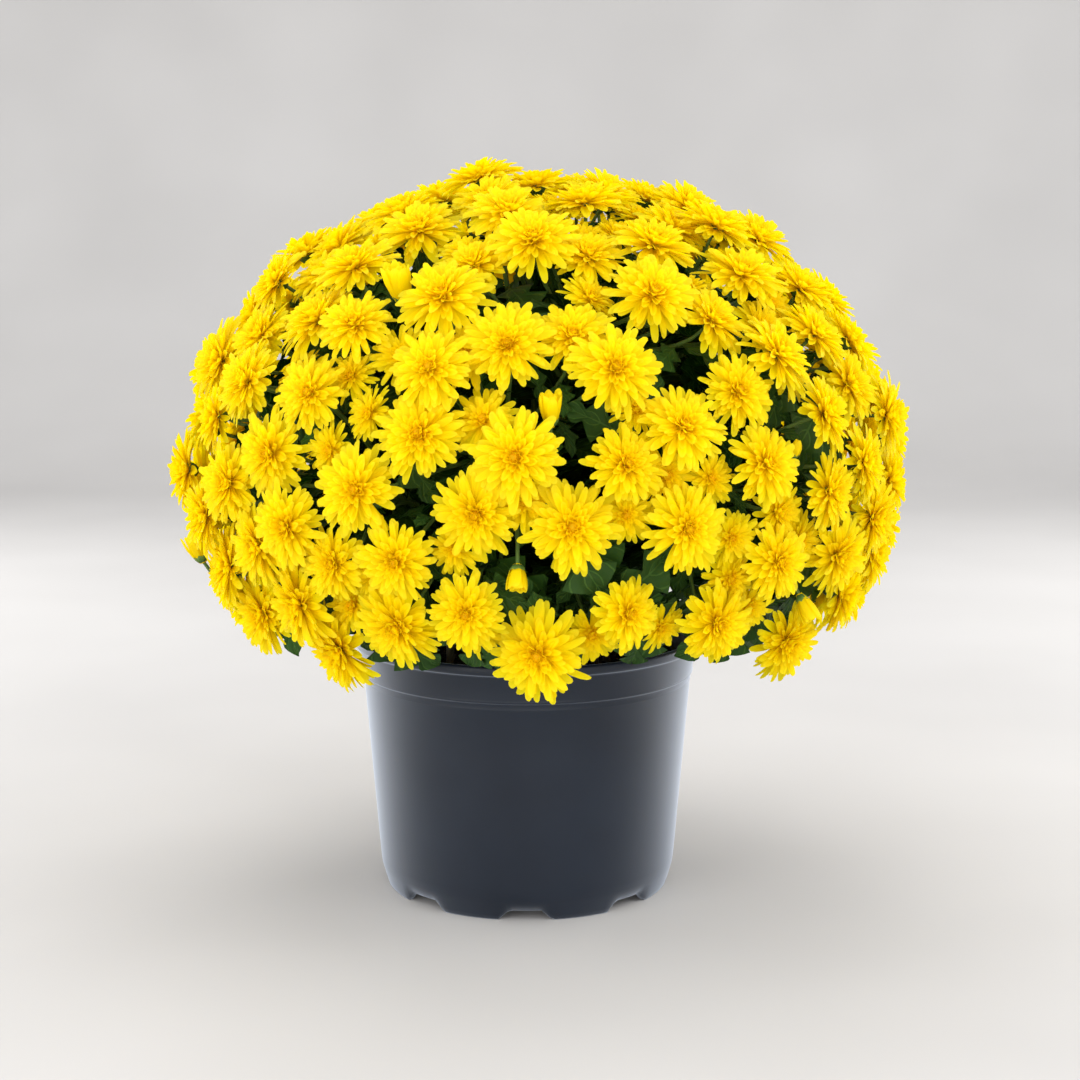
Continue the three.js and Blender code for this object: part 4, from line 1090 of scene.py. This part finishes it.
class CHRYSANTHEMUM_OT_stems(bpy.types.Operator):
    """Stems with their stalks and leaves, one piece for each stem"""

    bl_idname = "chrysanthemum.stems"
    bl_label = "Stems and leaves"

    def execute(self, context):
        looks = context.scene.chrysanthemum_leaves
        materials = [stem_material(), leaf_material()]
        for number in range(SPRAYS):
            build = Build()
            self.add_stem(build, number)
            seeds, stalks = self.add_stalks(build, number)
            self.add_stem_leaves(build, number, looks)
            self.show_leaves(build, number, stalks)
            self.add_stalk_leaves(build, seeds, stalks, looks)
            piece = build.mesh(f"leafy_stem_{number + 1:02}", materials)
            settle_piece(piece, "foliage", f"stem_{number + 1:02}")
        return {"FINISHED"}

    def add_stem(self, build, number):
        """The main stem: straight up out of its hole, then along its curve, thinning to the fork."""
        share = np.linspace(0, 1, STEM_RINGS)
        line, _ = bezier(STEMS[number], share)
        line = np.concatenate([line[:1] - [[0, 0, STEM_BURIED]], line])[None]
        thinning = STEM_RADIUS + (STEM_FORK_RADIUS - STEM_RADIUS) * share
        radii = np.concatenate([[STEM_RADIUS], thinning])[None]
        radii = radii * (1 + 0.05 * np.sin(np.arange(radii.size) * 2.3))
        wood = np.clip(1 - np.concatenate([[0], share]) * 1.5, 0, 1)
        draw = stacked(wood, wood)[None, :, None]
        place = round_map(STEM_RINGS + 1, STEM_ROUND, STEM_LENGTH)
        build.add(tubes(line, radii, STEM_ROUND), 0, True, place, draw)

    def add_stalks(self, build, number):
        """A stalk from the stem to each head: it leaves along the stem and comes in square below the head.
        The stalks of the heads furthest to the side leave lowest."""
        own = np.flatnonzero(HEADS["spray"] == number)
        young = np.flatnonzero(YOUNG["spray"] == number)
        at, axis = (np.concatenate([HEADS[name][own], YOUNG[name][young]]) for name in ("at", "axis"))
        depth = np.where(HEADS["bud"][own], HEADS["half"][own], BLOOM_BASE_DEPTH)
        depth = np.concatenate([depth, np.full(len(young), YOUNG_BASE_DEPTH)])[:, None]
        seeds = np.concatenate([own, YOUNG["index"][young]])
        top, way = bezier(STEMS[number], 1.0)
        offset = at - top
        aside = length_of(offset - way * dot(offset, way))
        place = np.empty(len(seeds))
        place[np.argsort(-aside)] = np.linspace(*STALK_PLACES, len(seeds))
        start, slope = bezier(STEMS[number], place)
        end = at - axis * (depth - 0.4)
        span = length_of(end - start)[:, None]
        control = [start, start + slope * span * 0.4, end - axis * span * 0.33, end]
        share = np.linspace(0, 1, STALK_RINGS)
        line, _ = bezier([point[:, None] for point in control], share[None])
        radii = np.broadcast_to(STALK_RADIUS + (STALK_TOP_RADIUS - STALK_RADIUS) * share, line.shape[:-1])
        place = round_map(STALK_RINGS, STALK_ROUND, STALK_LENGTH)
        build.add(tubes(line, radii, STALK_ROUND), 0, True, place)
        return seeds, line

    def add_stem_leaves(self, build, number, looks):
        """The solid's own leaves, and more of them round the stem by the golden angle."""
        for *leaf, attempt in frame_leaves(number):
            add_leaves(build, *(np.array([value]) for value in leaf), np.array([number * 20 + attempt]))
        k = np.arange(looks.per_stem)
        seeds = STEM_LEAF_SEEDS + number * 40 + k
        root, slope = bezier(STEMS[number], 0.16 + 0.8 * (k + chance(seeds, 41)) / looks.per_stem)
        out = turned(*frames_of(slope), np.radians(GOLDEN_ANGLE * k + 77 * number))
        along = unit(out + slope * between(0.2, 0.9, seeds, 42)[:, None])
        self.keep_leaves(build, root, along, looks.stem_leaf * between(0.75, 1.15, seeds, 43), seeds)

    def add_stalk_leaves(self, build, heads, stalks, looks):
        """Small leaves on the stalks, one for each pair of rows."""
        stalk = np.arange(len(heads))
        for stream, (low, high) in enumerate(STALK_LEAF_ROWS):
            seeds = STALK_LEAF_SEEDS + 2000 * stream + heads
            row = (low + np.floor(chance(seeds, 44) * (high - low))).astype(int)
            root = stalks[stalk, row]
            slope = unit(stalks[stalk, row + 1] - root)
            out = turned(*frames_of(slope), 2 * np.pi * chance(seeds, 45))
            along = unit(out + slope * between(0.5, 1.1, seeds, 46)[:, None])
            self.keep_leaves(build, root, along, looks.upper_leaf * between(0.7, 1.3, seeds, 47), seeds)

    def show_leaves(self, build, number, stalks):
        """Leaves in plain sight: in the gaps between the blooms, below the lowest and over the pot's rim.
        Each grows from the nearest place on a stalk of this stem and turns its face outwards."""
        windows, _ = window_places()
        azimuth, polar, share = SINGLE_LEAVES.T
        goal = [CORE + (windows - CORE) * SHOWN_SHARE, in_dome(azimuth, polar, share[:, None])]
        for stream, (count, polar, share) in enumerate(LEAF_RINGS):
            k = np.arange(count)
            azimuth = 360 * (k + between(-0.3, 0.3, k, 62 + 10 * stream)) / count
            share = between(*share, k, 65 + 10 * stream)[:, None]
            goal.append(in_dome(azimuth, between(*polar, k, 63 + 10 * stream), share))
        goal = np.concatenate(goal)
        points = stalks[:, 2:9].reshape(-1, 3)
        far = distances(points, goal)
        far[far < SHOWN_REACH[0]] = np.inf
        found = np.flatnonzero(far.min(axis=0) < SHOWN_REACH[1])
        if not len(found):
            return
        root = points[np.argmin(far, axis=0)[found]]
        way = goal[found] - root
        seeds = SHOWN_LEAF_SEEDS + 80 * number + found
        length = np.minimum(length_of(way) * between(0.95, 1.25, seeds, 64), SHOWN_LONGEST)
        outward = unit(goal[found] - CORE)
        single = (found >= len(windows)) & (found < len(windows) + len(SINGLE_LEAVES))
        outward[single] = unit(outward[single] - [0.0, FORWARD, 0.0])
        along = unit(way)
        add_leaves(build, root, along, -unit(np.cross(along, outward)), length, seeds, FINE_GRID)

    def keep_leaves(self, build, root, along, length, seeds):
        """Adds the leaves whose tips stay behind the blooms and clear of the pot and the peat."""
        tip = root + along * length[:, None]
        share, _ = dome_share(tip)
        beside_pot = length_of(tip[:, :2] - [POT_X, 0]) > POT_SPACE
        kept = (share < BEHIND_BLOOMS) & ((tip[:, 2] > OVER_POT) | beside_pot) & (tip[:, 2] > LOWEST_TIP)
        if not kept.any():
            return
        root, along, length, seeds = root[kept], along[kept], length[kept], seeds[kept]
        across = unit(np.cross([[0.0, 0.0, 1.0]], along))
        across = unit(across + 0.5 * np.cross(along, across) * between(-1, 1, seeds, 48)[:, None])
        add_leaves(build, root, along, across, length, seeds)


# ---- The pot and the peat ----

POT_SIDES = 192
POT_FEET = 8
POT_FOOT_TURN = -23.0
POT_NOTCH = 6.0

# Outside up and inside down: radius, height, and how far the bottom edge is lifted between the feet there.
POT_PROFILE = [
    (0, 7.5, 0), (78, 7.5, 0), (81.7, 7.2, 0), (82, 5.5, 0.2), (82, 1, 1), (82.7, 0, 1), (85.3, 0, 1),
    (86.1, 0.9, 1), (86.9, 3.2, 0.75), (88.1, 7, 0.35), (89.1, 10.6, 0.1), (89.8, 13.4, 0), (90.4, 18, 0),
    (93.9, 60, 0), (97.3, 101, 0), (99.5, 127.6, 0), (99.7, 128.2, 0), (99.8, 128.8, 0), (99.7, 129.4, 0),
    (99.9, 131.6, 0), (100.1, 132.2, 0), (100.9, 132.7, 0), (101.2, 133.3, 0), (101.1, 133.9, 0),
    (101.1, 134.8, 0), (101.7, 140, 0), (102.8, 147.6, 0), (103.1, 148.6, 0), (104.3, 149.2, 0),
    (105.2, 149.8, 0), (105.5, 151, 0), (105.5, 153.6, 0), (105, 154.7, 0), (104, 155, 0),
    (102.6, 154.9, 0), (101.7, 154.2, 0), (101.4, 152, 0), (100.9, 142, 0), (98.1, 128, 0),
    (88.4, 14, 0), (87, 10.5, 0), (84.5, 9.6, 0), (62, 9.5, 0), (0, 9.5, 0),
]


def pot_surface():
    """The profile turned round the pot's axis. Between the feet the bottom edge is lifted by a step with
    straight slopes, which is up over about a quarter of each eighth."""
    radius, height, lifted = np.array(POT_PROFILE, float).T[..., None]
    turn = circle(POT_SIDES)
    foot = ((np.degrees(turn) - POT_FOOT_TURN) * POT_FEET / 360 + 0.5) % 1 - 0.5
    height = height + lifted * POT_NOTCH * np.clip((np.abs(foot) - 0.26) / 0.1, 0, 1)
    return stacked(POT_X + radius * np.sin(turn), -radius * np.cos(turn), height)


PEAT_RINGS = 40
PEAT_SIDES = 132
PEAT_RADIUS = 97.0
PEAT_RIM = 136.0
PEAT_SLOPE = 0.25  # share of the radius over which it falls to the rim
PEAT_CRUMB = 2.6
PEAT_SIDE = [(96.6, 134), (95.6, 120), (87.2, 17), (84, 10.2), (0, 9.8)]  # radii and heights below the rim


def peat_surface():
    """A low heap, flat in its middle, with straight flanks. Seeded crumbs break up its top, and its plain
    sides and bottom lie close against the pot."""
    share = np.linspace(0, 1, PEAT_RINGS)
    radius = PEAT_RADIUS * share
    height = PEAT_RIM + (SOIL_CROWN - PEAT_RIM) * np.clip((1 - share) / PEAT_SLOPE, 0, 1)
    crumb = PEAT_CRUMB * (chance(np.arange(PEAT_RINGS * PEAT_SIDES), 61).reshape(PEAT_RINGS, -1) - 0.8)
    crumb = crumb * ((share > 0) & (share < 1))[:, None]
    side = np.array(PEAT_SIDE, float)
    radius = np.concatenate([radius, side[:, 0]])[:, None]
    height = np.concatenate([height[:, None] + crumb, side[:, 1:] + np.zeros(PEAT_SIDES)])
    turn = circle(PEAT_SIDES)
    return stacked(POT_X - radius * np.sin(turn), -radius * np.cos(turn), height)


class CHRYSANTHEMUM_OT_pot(bpy.types.Operator):
    """The moulded nursery pot with its lip, its step and its feet"""

    bl_idname = "chrysanthemum.pot"
    bl_label = "Pot"

    def execute(self, context):
        build = Build()
        build.add(pot_surface(), 0, closed=True)
        piece = build.mesh("nursery_pot", [pot_material()])
        settle_piece(piece, "pot", "pot")
        return {"FINISHED"}


class CHRYSANTHEMUM_OT_peat(bpy.types.Operator):
    """The crumbly peat that fills the pot"""

    bl_idname = "chrysanthemum.peat"
    bl_label = "Peat"

    def execute(self, context):
        build = Build()
        build.add(peat_surface(), 0, closed=True)
        piece = build.mesh("peat_surface", [peat_material()], smooth=False)
        settle_piece(piece, "peat", "growing_medium")
        return {"FINISHED"}


# Each light's name, place, the point that it looks at, its width and height, and its share of a power.
LIGHTS = [
    ("key", (1.5, -1.0, 1.5), (0, 0, 0.2), (1.3, 1.3), "key", 1.0),
    ("left_fill", (-1.3, -1.4, 0.5), (0, 0, 0.26), (1.3, 0.9), "fill", 1.0),
    ("front_fill", (0.3, -1.9, 0.32), (0, 0, 0.2), (1.4, 0.5), "fill", 0.7),
    ("left_strip", (-1.3, 0.75, 0.45), (0, 0, 0.15), (1.3, 0.8), "strips", 1.0),
    ("right_strip", (1.3, 0.75, 0.45), (0, 0, 0.15), (1.3, 0.8), "strips", 1.0),
    ("top", (-0.2, 0.4, 1.9), (0, 0, 0.3), (1.2, 1.2), "fill", 0.6),
]
FLOOR_HALF = 3500
FLOOR_BACK = 1800
FLOOR_SWEEP = 900
FLOOR_RISE = 3600
FLOOR_STEPS = 16
CAMERA_PLACE = (-0.0022, -1.3, 0.415)
CAMERA_TILT = 81.1  # from straight down
CAMERA_LENS = 72.2


class CHRYSANTHEMUM_OT_studio(bpy.types.Operator):
    """The pale floor, the soft lights and the camera"""

    bl_idname = "chrysanthemum.studio"
    bl_label = "Studio"

    def execute(self, context):
        looks = context.scene.chrysanthemum_studio
        powers = {"key": looks.key, "fill": looks.fill, "strips": looks.strips}
        self.make_floor()
        for name, place, target, size, kind, share in LIGHTS:
            self.add_light(name, place, target, size, share * powers[kind])
        self.make_sky(context, looks)
        self.make_camera(context)
        # Pure yellow petals keep their strength only where colours are shown as they are.
        context.scene.view_settings.view_transform = "Standard"
        return {"FINISHED"}

    def make_floor(self):
        """A floor that sweeps up behind the pot in a quarter circle."""
        turn = np.linspace(0, np.pi / 2, FLOOR_STEPS)
        bend = FLOOR_BACK + FLOOR_SWEEP * np.sin(turn)
        back = np.concatenate([[-FLOOR_HALF], bend, [FLOOR_BACK + FLOOR_SWEEP]])
        rise = np.concatenate([[0], FLOOR_SWEEP * (1 - np.cos(turn)), [FLOOR_RISE]])
        side = np.linspace(-FLOOR_HALF, FLOOR_HALF, 3)
        build = Build()
        build.add(stacked(side, back[:, None], rise[:, None]))
        build.mesh("studio_floor", [floor_material()])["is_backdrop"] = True

    def add_light(self, name, place, target, size, power):
        """A softbox of a width and a height that looks at a point."""
        data = bpy.data.lights.new(name, "AREA")
        data.shape = "RECTANGLE"
        data.size, data.size_y = size
        data.energy = power
        light = bpy.data.objects.new(name, data)
        light.location = place
        way = np.subtract(target, place)
        level = math.hypot(way[0], way[1])
        light.rotation_euler = (math.atan2(level, -way[2]), 0, math.atan2(-way[0], way[1]))
        light.visible_camera = False
        bpy.context.scene.collection.objects.link(light)

    def make_sky(self, context, looks):
        """Even pale light from all round."""
        world = bpy.data.worlds.new("studio_air")
        world.use_nodes = True
        back = world.node_tree.nodes["Background"]
        back.inputs["Color"].default_value = (*looks.sky_colour, 1.0)
        back.inputs["Strength"].default_value = looks.sky
        context.scene.world = world

    def make_camera(self, context):
        """A camera 1.3 m in front and about as high as the plant, which looks a little down."""
        data = bpy.data.cameras.new("camera")
        data.lens = CAMERA_LENS
        camera = bpy.data.objects.new("camera", data)
        camera.location = CAMERA_PLACE
        camera.rotation_euler = (math.radians(CAMERA_TILT), 0, 0)
        context.scene.collection.objects.link(camera)
        context.scene.camera = camera


class CHRYSANTHEMUM_PT_panel(bpy.types.Panel):
    """Lists the pieces of the pot chrysanthemum"""

    bl_idname = "CHRYSANTHEMUM_PT_panel"
    bl_label = "Pot Chrysanthemum"
    bl_space_type = "VIEW_3D"
    bl_region_type = "UI"
    bl_category = "Chrysanthemum"

    def draw(self, context):
        for operator in OPERATORS:
            self.layout.operator(operator.bl_idname)


SETTINGS = {
    "chrysanthemum_blooms": BloomSettings,
    "chrysanthemum_leaves": LeafSettings,
    "chrysanthemum_studio": StudioSettings,
}
OPERATORS = [
    CHRYSANTHEMUM_OT_blooms,
    CHRYSANTHEMUM_OT_buds,
    CHRYSANTHEMUM_OT_stems,
    CHRYSANTHEMUM_OT_pot,
    CHRYSANTHEMUM_OT_peat,
    CHRYSANTHEMUM_OT_studio,
]
CLASSES = [*SETTINGS.values(), *OPERATORS, CHRYSANTHEMUM_PT_panel]


def register():
    """Registers the settings, the operators and the panel."""
    for group in CLASSES:
        bpy.utils.register_class(group)
    for name, group in SETTINGS.items():
        setattr(bpy.types.Scene, name, PointerProperty(type=group))


def unregister():
    """Takes them back."""
    for name in SETTINGS:
        delattr(bpy.types.Scene, name)
    for group in reversed(CLASSES):
        bpy.utils.unregister_class(group)


def main():
    """Makes every piece and the studio, and works out the boxes of the solids and of the dressed plant."""
    register()
    bpy.ops.chrysanthemum.blooms()
    bpy.ops.chrysanthemum.buds()
    bpy.ops.chrysanthemum.stems()
    bpy.ops.chrysanthemum.pot()
    bpy.ops.chrysanthemum.peat()
    bpy.ops.chrysanthemum.studio()
    bpy.context.view_layer.update()
    boxes = {"cad": CAD_BOX, "visual": [list(corner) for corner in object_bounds()]}
    boxes = {name: [[float(value) for value in corner] for corner in box] for name, box in boxes.items()}


if __name__ == "__main__":
    main()
